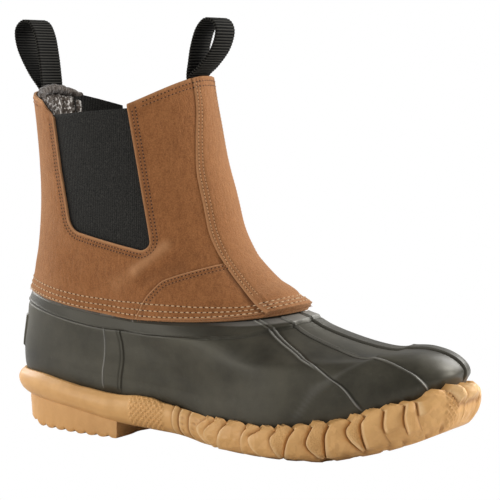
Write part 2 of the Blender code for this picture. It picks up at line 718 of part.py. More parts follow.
def main():
    for item in list(bpy.data.objects):
        bpy.data.objects.remove(item)
    boot = bpy.data.objects.new("boot", None)
    bpy.context.collection.objects.link(boot)

    gum_rubber = new_material("gum_rubber", (0.56, 0.31, 0.11), 0.55)
    dark_rubber = new_material("dark_rubber", (0.035, 0.034, 0.028), 0.42)
    suede = new_material("suede", (0.36, 0.15, 0.055), 0.95)
    elastic = new_material("elastic", (0.012, 0.012, 0.013), 0.85)
    webbing = new_material("webbing", (0.014, 0.014, 0.015), 0.7)
    footbed = new_material("footbed", (0.10, 0.075, 0.055), 0.95)

    items = [
        make_outsole(gum_rubber, boot),
        make_insole(footbed, boot),
        make_rubber_shell(dark_rubber, boot),
        make_shaft(suede, boot),
        make_front_strip(suede, boot),
        make_side_panel("side_panel_lateral", -1.0, suede, boot),
        make_side_panel("side_panel_medial", 1.0, suede, boot),
        make_gore("gore_lateral", -1.0, elastic, boot),
        make_gore("gore_medial", 1.0, elastic, boot),
        make_pull_loop("pull_loop_front", FRONT_LOOP, 0.0, 1.0, webbing, boot),
        make_pull_loop("pull_loop_back", BACK_LOOP, 180.0, -1.0, webbing, boot),
    ]
    centre_on_floor(boot, items)


main()
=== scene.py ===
"""Looks of a pull-on boot with a moulded rubber foot and a suede shaft, for the right foot.

Lengths are millimetres in the boot's own frame: x = 0 is the back of the sole's rim, +X runs to the
toe, +Y to the inner (medial) side and +Z up. new_mesh turns them into metres in the CAD's frame.
The boot's surface is a stack of rings: a level counts the rows of SECTIONS from the sole to the collar,
and an angle runs round a ring from the front (0) by the outer side (90) to the back (180).
A side is -1 for the outer one and 1 for the inner one.
"""
import math
from collections import namedtuple

import bmesh
import bpy
import numpy as np
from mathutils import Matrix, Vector


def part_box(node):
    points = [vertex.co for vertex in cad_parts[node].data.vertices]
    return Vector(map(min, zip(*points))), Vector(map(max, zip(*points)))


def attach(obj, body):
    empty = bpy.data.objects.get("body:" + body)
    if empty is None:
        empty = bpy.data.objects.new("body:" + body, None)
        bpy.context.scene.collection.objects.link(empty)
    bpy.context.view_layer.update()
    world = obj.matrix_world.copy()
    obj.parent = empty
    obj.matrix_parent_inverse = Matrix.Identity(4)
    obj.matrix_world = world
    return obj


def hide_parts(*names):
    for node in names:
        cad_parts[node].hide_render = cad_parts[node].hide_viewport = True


MM = 0.001
OUTER = -1.0
INNER = 1.0

Section = namedtuple(
    "Section", "name x_back z_back z_side x_front z_front front_rise heel waist ball arch roundness"
)
Line = namedtuple("Line", "name rim middle top bend", defaults=(0.0,))
Mark = namedtuple("Mark", "layer line centre width strength stage")
Lobe = namedtuple("Lobe", "name top elbow elbow_at foot low peak lift rough")
Crease = namedtuple("Crease", "name side x0 z0 x1 z1 height width tint")
Corner = namedtuple("Corner", "x z radius")
Gore = namedtuple("Gore", "name side node flat_width flat_length flat_area front_dip")
Seam = namedtuple("Seam", "pitch length width lift hole")
Light = namedtuple("Light", "name back right up size power")

# The CAD's own sizes, repeated. Heights along the foot are rows of (x, z).
SOLE_FLOOR = (
    (0, 25.5), (60, 24), (100, 21), (140, 16.5), (180, 12), (215, 10.5), (250, 13.5), (280, 20), (300, 27),
    (318, 35),
)
SOLE_BOTTOM = (
    (0, 20), (60, 15), (90, 10.5), (121, 8), (137, 6.8), (160, 2.6), (172, 0.3), (182, 0), (235, 0),
    (256, 3.5), (274, 8), (293, 15), (308, 23), (318, 31),
)
SOLE_RIM_TOP = (
    (0, 37.5), (30, 38), (56, 35.5), (88, 30.5), (130, 27.5), (162, 20.5), (180, 21), (205, 21), (228, 22.8),
    (245, 26), (262, 31), (282, 38.2), (300, 45.2), (318, 50),
)
HEEL_AT = 0.18
WAIST_AT = 0.43
BALL_AT = 0.73
TOE_SWING = 8.0
SWING_START = 190.0
SWING_LENGTH = 120.0
BACK_RISE = 1.2
SECTIONS = (
    Section("feather", 8.0, 0, 0, 297.5, 0, 1, 31.0, 31.5, 44.0, 4.0, 2.5),
    Section("rim", 3.8, 0, 0, 304.0, 0, 1, 34.5, 37.0, 48.5, 4.0, 2.5),
    Section("low foot", 2.8, 49.0, 34.0, 305.0, 54.0, 1.7, 35.0, 38.0, 49.0, 3.0, 2.5),
    Section("toe roll", 3.4, 56.5, 42.0, 298.8, 60.5, 1.7, 35.0, 38.5, 48.5, 2.5, 2.5),
    Section("toe top", 4.2, 63.0, 49.5, 284.0, 64.6, 1.7, 35.0, 39.0, 47.5, 2.0, 2.4),
    Section("toe cap", 5.2, 70.5, 57.5, 260.0, 63.4, 1.8, 34.8, 39.0, 45.5, 1.0, 2.3),
    Section("vamp", 6.4, 79.0, 66.5, 231.0, 70.4, 2.2, 34.6, 39.0, 43.0, 0.0, 2.2),
    Section("joint", 10.2, 88.0, 75.6, 203.2, 82.0, 3.0, 33.2, 37.8, 38.8, 0.0, 2.15),
    Section("ankle bulge", 13.8, 98.5, 87.0, 186.0, 95.5, 2.2, 32.8, 38.2, 37.2, 0.0, 2.1),
    Section("instep", 16.8, 111.0, 102.0, 170.5, 108.5, 1.7, 32.2, 38.5, 35.8, 0.0, 2.1),
    Section("ankle", 19.4, 129.0, 122.0, 156.5, 125.5, 1.7, 31.8, 38.8, 35.5, 0.0, 2.1),
    Section("low shaft", 20.6, 149.0, 143.0, 149.5, 147.0, 1.7, 31.5, 39.2, 35.8, 0.0, 2.1),
    Section("middle shaft", 20.0, 172.0, 164.0, 142.6, 172.0, 1.7, 31.7, 40.0, 36.4, 0.0, 2.1),
    Section("high shaft", 18.2, 194.0, 183.0, 137.6, 198.0, 1.7, 32.0, 40.6, 36.8, 0.0, 2.1),
    Section("collar", 16.0, 214.0, 199.0, 133.2, 223.0, 1.6, 32.5, 41.0, 37.2, 0.0, 2.1),
)
SECTION_TABLE = {
    field: np.array([getattr(section, field) for section in SECTIONS], float) for field in Section._fields[1:]
}
FEATHER = 0
RIM = 1
JOINT = 7.0
FLANGE_TOP = 8.0
COLLAR = len(SECTIONS) - 1
FEATHER_GAP = 0.3
RIM_GAP = 0.5
SOLE_OUTLINE = {
    field: np.array([value], float)
    for field, value in Section("sole", 0, 0, 0, 312.5, 0, 1, 39, 42.5, 56, 6, 2.5)._asdict().items()
    if field != "name"
}
RUBBER_WALL = 2.5
SUEDE_IN = 0.3
SUEDE_OUT = 2.3
OVERLAY_OUT = 3.5
OVERLAY_IN = SUEDE_OUT - 0.2
GORE_WALL = 1.6
LINING_OUT = -1.75
LINING_IN = -2.6

# Outlines in side view, and rows of (z, half width) and (angle, level) for the overlays.
NOTCH = (
    Corner(47.6, 207, 0), Corner(53.4, 165, 0), Corner(60.8, 128, 12), Corner(120.4, 115.5, 6),
    Corner(103, 207, 0),
)
INNER_NOTCH = (*NOTCH[:-1], Corner(108, 207, 0))
COLLAR_DIP = (
    Corner(35, 216, 0), Corner(35, 208.5, 0), Corner(49, 197.5, 0), Corner(60, 197.5, 0), Corner(60, 216, 0),
)
STRIP_EDGE = (
    (70, 23), (85, 22), (108, 19.5), (130, 18.5), (160, 18), (185, 15), (210, 11.5), (235, 11.5),
)
PANEL_TOP = (
    (14, 9.22), (21, 9.19), (44.5, 9.05), (63.5, 8.82), (73, 8.4), (79, 7.98), (84, 7.45), (87.5, 7.02),
)
PANEL_END = 87.0
CUT_REACH = 90.0
CUT_SHARP = 40.0


def smooth(value):
    """Ease from 0 to 1 for values between 0 and 1."""
    clamped = np.clip(value, 0.0, 1.0)
    return clamped * clamped * (3.0 - 2.0 * clamped)


def hump(distance, width):
    """Rounded ridge of height 1 at a distance of 0."""
    return np.exp(-np.square(distance / width))


def hermite(start, end, pull_start, pull_end, part):
    """Cubic from start to end with the given slopes at its ends."""
    cube = 2 * start - 2 * end + pull_start + pull_end
    square = -3 * start + 3 * end - 2 * pull_start - pull_end
    return start + part * (pull_start + part * (square + part * cube))


def curve_at(rows, x):
    """Smooth curve through rows of (x, z) with no overshoot, level beyond its ends."""
    xs, zs = np.array(rows, float).T
    slopes = np.diff(zs) / np.diff(xs)
    both = slopes[:-1] * slopes[1:]
    total = slopes[:-1] + slopes[1:]
    inner = np.where(both > 0, 2.0 * both / np.where(both > 0, total, 1.0), 0.0)
    tangents = np.concatenate([slopes[:1], inner, slopes[-1:]])
    x = np.clip(x, xs[0], xs[-1])
    left = np.clip(np.searchsorted(xs, x, side="right") - 1, 0, len(xs) - 2)
    width = xs[left + 1] - xs[left]
    part = (x - xs[left]) / width
    return hermite(zs[left], zs[left + 1], tangents[left] * width, tangents[left + 1] * width, part)


def unit(vectors):
    """Vectors of length 1."""
    return vectors / np.maximum(np.linalg.norm(vectors, axis=-1, keepdims=True), 1e-9)


def turn_from_front(angle):
    """Angle from the front on either side, from 0 to 180."""
    around = angle % 360.0
    return np.minimum(around, 360.0 - around)


# The boot's surface.

def end_curve(along, roundness):
    """Superellipse that closes a ring at both ends."""
    return np.maximum(1.0 - np.abs(2.0 * along - 1.0) ** roundness, 0.0) ** (1.0 / roundness)


def plan_points(row, angle):
    """X and Y of rings, from the columns of SECTIONS, at angles in degrees."""
    turn = np.radians(angle)
    along = 0.5 + 0.5 * np.cos(turn)
    medial = np.sin(turn) < 0
    heel = row["heel"] / end_curve(HEEL_AT, row["roundness"])
    waist = (row["waist"] - np.where(medial, row["arch"], 0.0)) / end_curve(WAIST_AT, row["roundness"])
    ball = row["ball"] / end_curve(BALL_AT, row["roundness"])
    width = heel + (waist - heel) * smooth((along - HEEL_AT) / (WAIST_AT - HEEL_AT))
    width = width + (ball - waist) * smooth((along - WAIST_AT) / (BALL_AT - WAIST_AT))
    x = row["x_back"] + (row["x_front"] - row["x_back"]) * along
    side = np.where(medial, INNER, OUTER)
    y = side * width * end_curve(along, row["roundness"])
    return x, y + TOE_SWING * smooth((x - SWING_START) / SWING_LENGTH)


def ring_points(index, angle):
    """Points on rows of SECTIONS."""
    row = {field: values[index] for field, values in SECTION_TABLE.items()}
    x, y = plan_points(row, angle)
    lean = np.cos(np.radians(angle))
    z = row["z_side"] + (row["z_front"] - row["z_side"]) * np.maximum(lean, 0.0) ** row["front_rise"]
    z = z + (row["z_back"] - row["z_side"]) * np.maximum(-lean, 0.0) ** BACK_RISE
    z = np.where(index == FEATHER, curve_at(SOLE_FLOOR, x) + FEATHER_GAP, z)
    z = np.where(index == RIM, curve_at(SOLE_RIM_TOP, x) - RIM_GAP, z)
    return np.stack([x, y, z], axis=-1)


def last_points(level, angle):
    """Points of the boot's surface: the outside of the rubber and just inside the suede."""
    level, angle = np.broadcast_arrays(np.asarray(level, float), np.asarray(angle, float))
    low = np.clip(np.floor(level).astype(int), 0, COLLAR - 1)
    start = ring_points(low, angle)
    end = ring_points(low + 1, angle)
    before = np.where((low > 0)[..., None], ring_points(np.maximum(low - 1, 0), angle), 2 * start - end)
    after = np.where(
        (low + 2 <= COLLAR)[..., None], ring_points(np.minimum(low + 2, COLLAR), angle), 2 * end - start
    )
    return hermite(start, end, (end - before) / 2, (after - start) / 2, (level - low)[..., None])


def last_normals(level, angle):
    """Outward unit normals of the boot's surface."""
    level_step = 0.02
    angle_step = 0.6
    level = np.asarray(level, float)
    angle = np.asarray(angle, float)
    up = last_points(level + level_step, angle) - last_points(np.maximum(level - level_step, 0.0), angle)
    around = last_points(level, angle + angle_step) - last_points(level, angle - angle_step)
    return unit(np.cross(up, around))


def skin(level, angle, offset):
    """Points a distance outside the boot's surface."""
    return last_points(level, angle) + last_normals(level, angle) * np.asarray(offset)[..., None]


def find_surface(target, level, angle):
    """Level and angle where the surface has the wanted X and Z, from a first guess."""
    axes = [0, 2]
    level_step = 0.01
    angle_step = 0.1
    most_level = 0.7
    most_angle = 9
    level = np.broadcast_to(np.asarray(level, float), target.shape[:-1]).copy()
    angle = np.broadcast_to(np.asarray(angle, float), target.shape[:-1]).copy()
    for _ in range(14):
        here = last_points(level, angle)[..., axes]
        by_level = (last_points(level + level_step, angle)[..., axes] - here) / level_step
        by_angle = (last_points(level, angle + angle_step)[..., axes] - here) / angle_step
        miss = target - here
        area = by_level[..., 0] * by_angle[..., 1] - by_level[..., 1] * by_angle[..., 0]
        area = np.where(np.abs(area) < 1e-6, 1e-6, area)
        level_move = (miss[..., 0] * by_angle[..., 1] - miss[..., 1] * by_angle[..., 0]) / area
        angle_move = (by_level[..., 0] * miss[..., 1] - by_level[..., 1] * miss[..., 0]) / area
        level += np.clip(level_move, -most_level, most_level)
        angle += np.clip(angle_move, -most_angle, most_angle)
        level = np.clip(level, 0.0, COLLAR + 0.8)
    return level, angle


def side_view(x, z, side):
    """Level and angle of surface points given by their side view."""
    target = np.stack(np.broadcast_arrays(np.asarray(x, float), np.asarray(z, float)), axis=-1)
    return find_surface(target, 11.5, -side * 90.0)


# Paths.

def rounded_outline(corners, steps=14):
    """Outline with arcs at the corners that have a radius, as (x, z)."""
    outline = []
    for index, corner in enumerate(corners):
        here = Vector((corner.x, corner.z))
        if not corner.radius:
            outline.append(here)
            continue
        before = corners[index - 1]
        after = corners[(index + 1) % len(corners)]
        to_before = (Vector((before.x, before.z)) - here).normalized()
        to_after = (Vector((after.x, after.z)) - here).normalized()
        half_angle = to_before.angle(to_after) / 2.0
        centre = here + (to_before + to_after).normalized() * (corner.radius / math.sin(half_angle))
        reach = corner.radius / math.tan(half_angle)
        for step in range(steps + 1):
            spoke = (here + to_before * reach).lerp(here + to_after * reach, step / steps) - centre
            outline.append(centre + spoke.normalized() * corner.radius)
    return np.array([tuple(point) for point in outline])


def lengths_along(path):
    """Length of a polyline up to each of its points."""
    return np.concatenate([[0.0], np.cumsum(np.linalg.norm(np.diff(path, axis=0), axis=1))])


def resample(path, spacing):
    """Points evenly spread along a polyline."""
    lengths = lengths_along(path)
    count = max(int(round(lengths[-1] / spacing)), 2)
    wanted = np.linspace(0.0, lengths[-1], count + 1)
    return np.stack([np.interp(wanted, lengths, path[:, axis]) for axis in range(path.shape[1])], axis=1)


def moved_sideways(path, distance):
    """Plane polyline moved to the left of its direction."""
    along = unit(np.gradient(path, axis=0))
    return path + np.stack([-along[:, 1], along[:, 0]], axis=1) * distance


def distance_to_path(points, path):
    """Distance of points from a polyline."""
    best = np.full(points.shape[:-1], np.inf)
    for start, end in zip(path[:-1], path[1:]):
        along = end - start
        part = np.clip(((points - start) @ along) / max(along @ along, 1e-9), 0.0, 1.0)
        best = np.minimum(best, np.linalg.norm(points - start - part[..., None] * along, axis=-1))
    return best


# Meshes.

def grid_faces(rows, columns, wrap_columns=False, wrap_rows=False, start=0):
    """Quads of a grid of points stored row by row."""
    low = np.arange(rows if wrap_rows else rows - 1)
    left = np.arange(columns if wrap_columns else columns - 1)
    low, left = np.meshgrid(low, left, indexing="ij")
    high = (low + 1) % rows
    right = (left + 1) % columns
    quads = np.stack([
        low * columns + left, high * columns + left, high * columns + right, low * columns + right,
    ], axis=-1)
    return (quads.reshape(-1, 4) + start).tolist()


def slab(outer, inner):
    """Points and faces of a closed sheet with an outer and an inner grid."""
    rows, columns = outer.shape[:2]
    count = rows * columns
    faces = grid_faces(rows, columns)
    faces += [face[::-1] for face in grid_faces(rows, columns, start=count)]
    grid = np.arange(count).reshape(rows, columns)
    rim = np.concatenate([grid[0, :-1], grid[:-1, -1], grid[-1, :0:-1], grid[:0:-1, 0]])
    beyond = np.roll(rim, -1)
    faces += np.stack([rim, beyond, beyond + count, rim + count], axis=1).tolist()
    return np.concatenate([outer.reshape(-1, 3), inner.reshape(-1, 3)]), faces


def sleeve(outer, inner):
    """Points and faces of a closed wall round the boot, with an outer and an inner grid."""
    rings = np.concatenate([outer, inner[::-1]])
    return rings.reshape(-1, 3), grid_faces(*rings.shape[:2], wrap_columns=True, wrap_rows=True)


def tube(path, radius, sides=10):
    """Points and faces of a round tube along a path, closed at its ends."""
    along = unit(np.gradient(path, axis=0))
    across = unit(np.cross(along, np.array([0.0, 0.0, 1.0]) + 0.01))
    over = np.cross(along, across)
    turns = np.linspace(0.0, 2.0 * math.pi, sides, endpoint=False)
    radius = np.broadcast_to(np.asarray(radius, float), len(path))[:, None, None]
    rings = path[:, None] + radius * (
        np.cos(turns)[None, :, None] * across[:, None] + np.sin(turns)[None, :, None] * over[:, None]
    )
    faces = grid_faces(len(path), sides, wrap_columns=True)
    faces.append(list(range(sides)))
    faces.append([len(path) * sides - 1 - side for side in range(sides)])
    return rings.reshape(-1, 3), faces


def joined(parts):
    """Points and faces of several meshes as one."""
    points = []
    faces = []
    start = 0
    for part_points, part_faces in parts:
        points.append(part_points)
        faces += [[corner + start for corner in face] for face in part_faces]
        start += len(part_points)
    return np.concatenate(points), faces


def new_mesh(name, points, faces):
    """Mesh in metres in the CAD's frame, with its faces turned outward."""
    mesh = bpy.data.meshes.new(name)
    mesh.from_pydata(((points + SHIFT) * MM).tolist(), [], faces)
    work = bmesh.new()
    work.from_mesh(mesh)
    bmesh.ops.recalc_face_normals(work, faces=work.faces)
    work.to_mesh(mesh)
    work.free()
    return mesh


def new_object(name, data):
    """Object in the scene."""
    made = bpy.data.objects.new(name, data)
    bpy.context.collection.objects.link(made)
    return made


def shade(mesh, sharp):
    """Smooth shading with edges sharper than an angle left hard."""
    mesh.shade_smooth()
    mesh.set_sharp_from_angle(angle=math.radians(sharp))


def new_piece(name, points, faces, material, slot, node=None, sharp=50.0):
    """Piece that rides on the boot, with its CAD node hidden."""
    mesh = new_mesh(name, points, faces)
    shade(mesh, sharp)
    mesh.materials.append(material)
    piece = new_object(name, mesh)
    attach(piece, "root")
    if node:
        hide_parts(node)
    return piece


def paint(piece, name, values):
    """Float attribute on a piece's vertices, for its material to read.

    One value goes on all of them, and a list shorter than the vertices leaves 0 on the rest.
    """
    full = np.zeros(len(piece.data.vertices), np.float32)
    values = np.asarray(values, np.float32).ravel()
    count = len(values) if len(values) > 1 else len(full)
    full[:count] = values
    piece.data.attributes.new(name, "FLOAT", "POINT").data.foreach_set("value", full)


def cut(piece, outline, near, far):
    """Cut a side-view outline out of a piece between two distances from the middle."""
    count = len(outline)
    points = np.array([(x, y, z) for y in (near, far) for x, z in outline])
    faces = [list(range(count)), list(range(2 * count - 1, count - 1, -1))]
    faces += [[i, i + count, (i + 1) % count + count, (i + 1) % count] for i in range(count)]
    cutter = new_object("cutter", new_mesh("cutter", points, faces))
    modifier = piece.modifiers.new("cut", "BOOLEAN")
    modifier.operation = "DIFFERENCE"
    modifier.solver = "EXACT"
    modifier.object = cutter
    graph = bpy.context.evaluated_depsgraph_get()
    done = bpy.data.meshes.new_from_object(piece.evaluated_get(graph))
    piece.modifiers.clear()
    piece.data = done
    bpy.data.objects.remove(cutter)
    shade(done, CUT_SHARP)


# Materials. Noise scales are features per metre, and bump depths are metres.

BLACK = (0.0, 0.0, 0.0)
WHITE = (1.0, 1.0, 1.0)


def add_node(tree, kind, settings=None, **inputs):
    """Shader node with its settings and inputs; an input is a constant or another node's socket."""
    node = tree.nodes.new("ShaderNode" + kind)
    for key, value in (settings or {}).items():
        setattr(node, key, value)
    for key, value in inputs.items():
        name = key.replace("_", " ")
        numbered = name[0] == "i" and name[1:].isdigit()
        socket = node.inputs[int(name[1:]) if numbered else name]
        if isinstance(value, bpy.types.NodeSocket):
            tree.links.new(value, socket)
        else:
            socket.default_value = value
    return node


def new_material(name, roughness, **constants):
    """Principled material, its node tree and its shader."""
    material = bpy.data.materials.new(name)
    material.use_nodes = True
    tree = material.node_tree
    shader = tree.nodes["Principled BSDF"]
    shader.inputs["Roughness"].default_value = roughness
    for key, value in constants.items():
        shader.inputs[key.replace("_", " ")].default_value = value
    return material, tree, shader


def object_place(tree):
    """Place on the object, in metres."""
    return add_node(tree, "TexCoord").outputs["Object"]


def noise(tree, scale, detail=3.0, roughness=0.55, stretch=None):
    """Noise factor on the object."""
    where = object_place(tree)
    if stretch:
        where = add_node(tree, "Mapping", Vector=where, Scale=stretch).outputs[0]
    made = add_node(tree, "TexNoise", Vector=where, Scale=scale, Detail=detail, Roughness=roughness)
    return made.outputs[0]


def ramp(tree, factor, *stops):
    """Colour ramp with stops of (position, colour)."""
    node = add_node(tree, "ValToRGB", Fac=factor)
    elements = node.color_ramp.elements
    while len(elements) < len(stops):
        elements.new(0.5)
    for element, (position, colour) in zip(elements, stops):
        element.position = position
        element.color = (*colour, 1.0)
    return node.outputs[0]


def mix_colour(tree, factor, first, second):
    """Mix of two colours; each is a socket or a colour."""
    node = tree.nodes.new("ShaderNodeMix")
    node.data_type = "RGBA"
    for socket, value in ((node.inputs[0], factor), (node.inputs[6], first), (node.inputs[7], second)):
        if isinstance(value, bpy.types.NodeSocket):
            tree.links.new(value, socket)
        elif isinstance(value, tuple):
            socket.default_value = (*value, 1.0)
        else:
            socket.default_value = value
    return node.outputs[2]


def calculate(tree, operation, first, second=0.0, third=0.0):
    """Math node's result."""
    return add_node(tree, "Math", {"operation": operation}, i0=first, i1=second, i2=third).outputs[0]


def attribute(tree, name):
    """Value that paint put on the piece."""
    return add_node(tree, "Attribute", {"attribute_name": name}).outputs["Fac"]


def dress(tree, shader, colour, *layers):
    """Link the colour, and bump layers of (height socket, depth), one on the other."""
    tree.links.new(colour, shader.inputs["Base Color"])
    normal = None
    for height, depth in layers:
        node = add_node(tree, "Bump", Height=height, Distance=depth, Strength=1.0)
        if normal:
            tree.links.new(normal, node.inputs["Normal"])
        normal = node.outputs[0]
    tree.links.new(normal, shader.inputs["Normal"])


def suede_material():
    """Napped tan suede with soft mottling, a light sheen and pale wear, with painted highlights on fold ridges
    and painted shade along seams, raised edges and fold hollows.
    """
    material, tree, shader = new_material(
        "suede", 0.95, Specular_IOR_Level=0.12, Sheen_Weight=0.35, Sheen_Roughness=0.55,
        Sheen_Tint=(1.0, 0.72, 0.46, 1.0),
    )
    nap = noise(tree, 1150.0, 4.0, 0.7)
    brushed = noise(tree, 420.0, 3.0, 0.6, (1.0, 1.0, 0.45))
    clouds = noise(tree, 45.0, 4.0, 0.6)
    blotches = noise(tree, 150.0, 4.0, 0.6)
    base = (0.265, 0.097, 0.030)
    dark = (0.150, 0.050, 0.014)
    light = (0.385, 0.157, 0.056)
    colour = ramp(tree, clouds, (0.25, dark), (0.5, base), (0.78, light))
    colour = mix_colour(tree, 0.35, colour, ramp(tree, blotches, (0.34, dark), (0.66, light)))
    for share, pattern in ((0.42, brushed), (0.48, nap)):
        colour = mix_colour(tree, share, colour, ramp(tree, pattern, (0.36, dark), (0.64, light)))
    # Pale raw edges and wear, with painted highlights along the ridges of the folds.
    colour = mix_colour(tree, attribute(tree, "wear_and_highlight"), colour, (0.54, 0.275, 0.128))
    # Painted shade in the stitch rows, under the overlays' raised edges and in the folds' hollows.
    colour = mix_colour(tree, attribute(tree, "shade"), colour, (0.085, 0.028, 0.010))
    dress(tree, shader, colour, (brushed, 0.0005), (nap, 0.0005))
    return material


def rubber_material():
    """Dark olive moulded rubber with a satin face mottled by dust, painted highlights on its ridges and bevels,
    and painted shadow lines.
    """
    material, tree, shader = new_material(
        "dark_rubber", 0.4, Specular_IOR_Level=0.5, Specular_Tint=(1.0, 0.94, 0.78, 1.0)
    )
    dust = noise(tree, 30.0, 6.0, 0.65)
    grain = noise(tree, 900.0, 3.0, 0.6)
    spots = noise(tree, 160.0, 4.0, 0.7)
    spotted = ramp(tree, spots, (0.62, BLACK), (0.8, (0.5, 0.5, 0.5)))
    colour = ramp(tree, dust, (0.32, (0.0125, 0.0112, 0.0072)), (0.68, (0.052, 0.047, 0.033)))
    colour = mix_colour(tree, spotted, colour, (0.06, 0.056, 0.047))
    # Painted highlights and reflections on ribs, bevels and the throat block, and a real scuff.
    colour = mix_colour(tree, attribute(tree, "dust_and_highlight"), colour, (0.34, 0.33, 0.305))
    # Painted shadow along the ribs' lower sides, under the band's edge and on the band's face.
    colour = mix_colour(tree, attribute(tree, "painted_shadow"), colour, (0.006, 0.0055, 0.0045))
    gloss = calculate(tree, "MULTIPLY_ADD", dust, 0.3, 0.36)
    polish = calculate(tree, "MULTIPLY", attribute(tree, "polish"), 0.13)
    tree.links.new(calculate(tree, "SUBTRACT", gloss, polish), shader.inputs["Roughness"])
    dress(tree, shader, colour, (spots, 0.00008), (grain, 0.00003))
    return material


def gum_material():
    """Honey-coloured gum rubber, rough where the moulding is chipped, with painted shade in its creases and
    painted highlights on its ridges.
    """
    material, tree, shader = new_material("gum_rubber", 0.5, Specular_IOR_Level=0.4)
    clouds = noise(tree, 60.0, 4.0, 0.6)
    grain = noise(tree, 1300.0, 3.0, 0.6)
    colour = ramp(tree, clouds, (0.3, (0.60, 0.322, 0.110)), (0.72, (0.73, 0.415, 0.157)))
    # Painted shade in the creases, gaps and pits, and darker toward the heel.
    colour = mix_colour(tree, attribute(tree, "painted_shade"), colour, (0.33, 0.145, 0.041))
    # Painted highlight on the lobes' raised edges.
    edge = calculate(tree, "MULTIPLY", attribute(tree, "ridge_highlight"), 0.9)
    colour = mix_colour(tree, edge, colour, (0.80, 0.53, 0.26))
    crumb = calculate(tree, "MULTIPLY", noise(tree, 1100.0, 2.0, 0.5), attribute(tree, "rough"))
    cells = add_node(
        tree, "TexVoronoi", {"distance": "CHEBYCHEV"}, Vector=object_place(tree), Scale=170.0
    ).outputs["Distance"]
    chips = calculate(tree, "MULTIPLY", cells, attribute(tree, "chip"))
    dress(tree, shader, colour, (clouds, 0.0005), (chips, 0.0010), (crumb, 0.0006), (grain, 0.00003))
    return material


def elastic_material():
    """Black elastic with fine upright cords and a light fleck."""
    material, tree, shader = new_material(
        "elastic", 0.85, Specular_IOR_Level=0.15, Sheen_Weight=0.2, Sheen_Roughness=0.4
    )
    cords = add_node(
        tree, "TexWave", {"wave_type": "BANDS", "bands_direction": "X"}, Vector=object_place(tree),
        Scale=230.0, Distortion=0.6, Detail=1.0, Detail_Scale=40.0,
    ).outputs["Fac"]
    fleck = noise(tree, 1700.0, 2.0, 0.6)
    flecked = ramp(tree, fleck, (0.42, (0.008, 0.008, 0.007)), (0.68, (0.048, 0.045, 0.039)))
    corded = ramp(tree, cords, (0.2, (0.006, 0.006, 0.006)), (0.8, (0.032, 0.03, 0.028)))
    colour = mix_colour(tree, 0.25, flecked, corded)
    dress(tree, shader, colour, (cords, 0.00012), (fleck, 0.00012))
    return material


def webbing_material():
    """Black woven webbing; its ribs are in the mesh, with painted highlights on their crests and painted shade
    between, and its threads here.
    """
    material, tree, shader = new_material("webbing", 0.8, Specular_IOR_Level=0.05)
    threads = noise(tree, 1900.0, 2.0, 0.5)
    dark = (0.001, 0.001, 0.001)
    # Painted highlight on the rib crests, painted shade in the valleys.
    ribbed = ramp(tree, attribute(tree, "rib_highlight"), (0.6, dark), (1.0, (0.05, 0.047, 0.04)))
    woven = ramp(tree, threads, (0.4, dark), (0.7, (0.03, 0.029, 0.025)))
    dress(tree, shader, mix_colour(tree, 0.12, ribbed, woven), (threads, 0.0001))
    return material


def knit_material(name, fleck_strength, darkness):
    """Grey-brown knit with pale flecks."""
    material, tree, shader = new_material(name, 0.95, Specular_IOR_Level=0.1, Sheen_Weight=0.3)
    cells = add_node(tree, "TexVoronoi", Vector=object_place(tree), Scale=620.0).outputs["Distance"]
    fuzz = noise(tree, 700.0, 3.0, 0.7)
    loops = ramp(tree, cells, (0.1, (0.26, 0.21, 0.17)), (0.55, (0.06, 0.046, 0.036)))
    fuzzy = ramp(tree, fuzz, (0.35, (0.045, 0.034, 0.027)), (0.7, (0.27, 0.22, 0.18)))
    colour = mix_colour(tree, 0.5, loops, fuzzy)
    colour = mix_colour(tree, darkness, colour, (0.035, 0.026, 0.020))
    flecks = ramp(tree, noise(tree, 560.0, 2.0, 0.5), (0.54, BLACK), (0.64, (fleck_strength,) * 3))
    colour = mix_colour(tree, flecks, colour, (0.72, 0.68, 0.63))
    dress(tree, shader, colour, (cells, 0.0006), (fuzz, 0.0003))
    return material


def felt_material():
    """Brown felt footbed."""
    material, tree, shader = new_material("footbed", 0.95, Specular_IOR_Level=0.1, Sheen_Weight=0.2)
    fuzz = noise(tree, 650.0, 4.0, 0.7)
    colour = ramp(tree, fuzz, (0.3, (0.055, 0.04, 0.03)), (0.7, (0.15, 0.115, 0.085)))
    dress(tree, shader, colour, (fuzz, 0.0005))
    return material


def thread_material(name, dark, light):
    """Twisted sewing thread."""
    material, tree, shader = new_material(name, 0.7, Specular_IOR_Level=0.3)
    strands = noise(tree, 2200.0, 2.0, 0.5)
    dress(tree, shader, ramp(tree, strands, (0.35, dark), (0.65, light)), (strands, 0.0001))
    return material


# Rubber foot. A line runs up the rubber through its angles at LINE_LEVELS.

LINE_LEVELS = (1.0, 3.5, 6.5)
RIB_LINES = (
    Line("strip edge", -1.5, -1.5, 3.0),
    Line("mid line", 20.5, 28.5, 20.0, -3.0),
    Line("side rib", 43.5, 51.5, 33.0, -1.8),
    Line("fork rib", 44.1, 52.1, 35.6, -1.8),
    Line("scuff", 103.5, 101.5, 90.5),
    Line("counter front", 112.0, 109.5, 98.5),
    Line("counter rear", 117.5, 115.5, 104.5),
    Line("tab edge", 167.0, 164.0, 160.0),
    Line("far tab edge", 193.0, 196.0, 200.0),
    Line("far counter rear", 242.5, 244.5, 255.5),
    Line("far counter front", 248.0, 250.5, 261.5),
    Line("far fork rib", 315.9, 307.9, 324.4, 1.8),
    Line("far side rib", 316.5, 308.5, 327.0, 1.8),
    Line("far mid line", 331.0, 324.0, 333.0, 3.0),
    Line("far strip edge", 346.5, 347.5, 350.5),
)
BEND_LEVEL = 5.4
BEND_WIDTH = 0.8
# Distances of the mesh's columns from a line, and the gap between plain columns.
NEAR_LINE = (0.0, 0.3, 0.6, 0.95, 1.35, 1.8, 2.4, 3.2, 4.2)
COLUMN_GAP = 2.0
MM_PER_DEGREE = 1.9
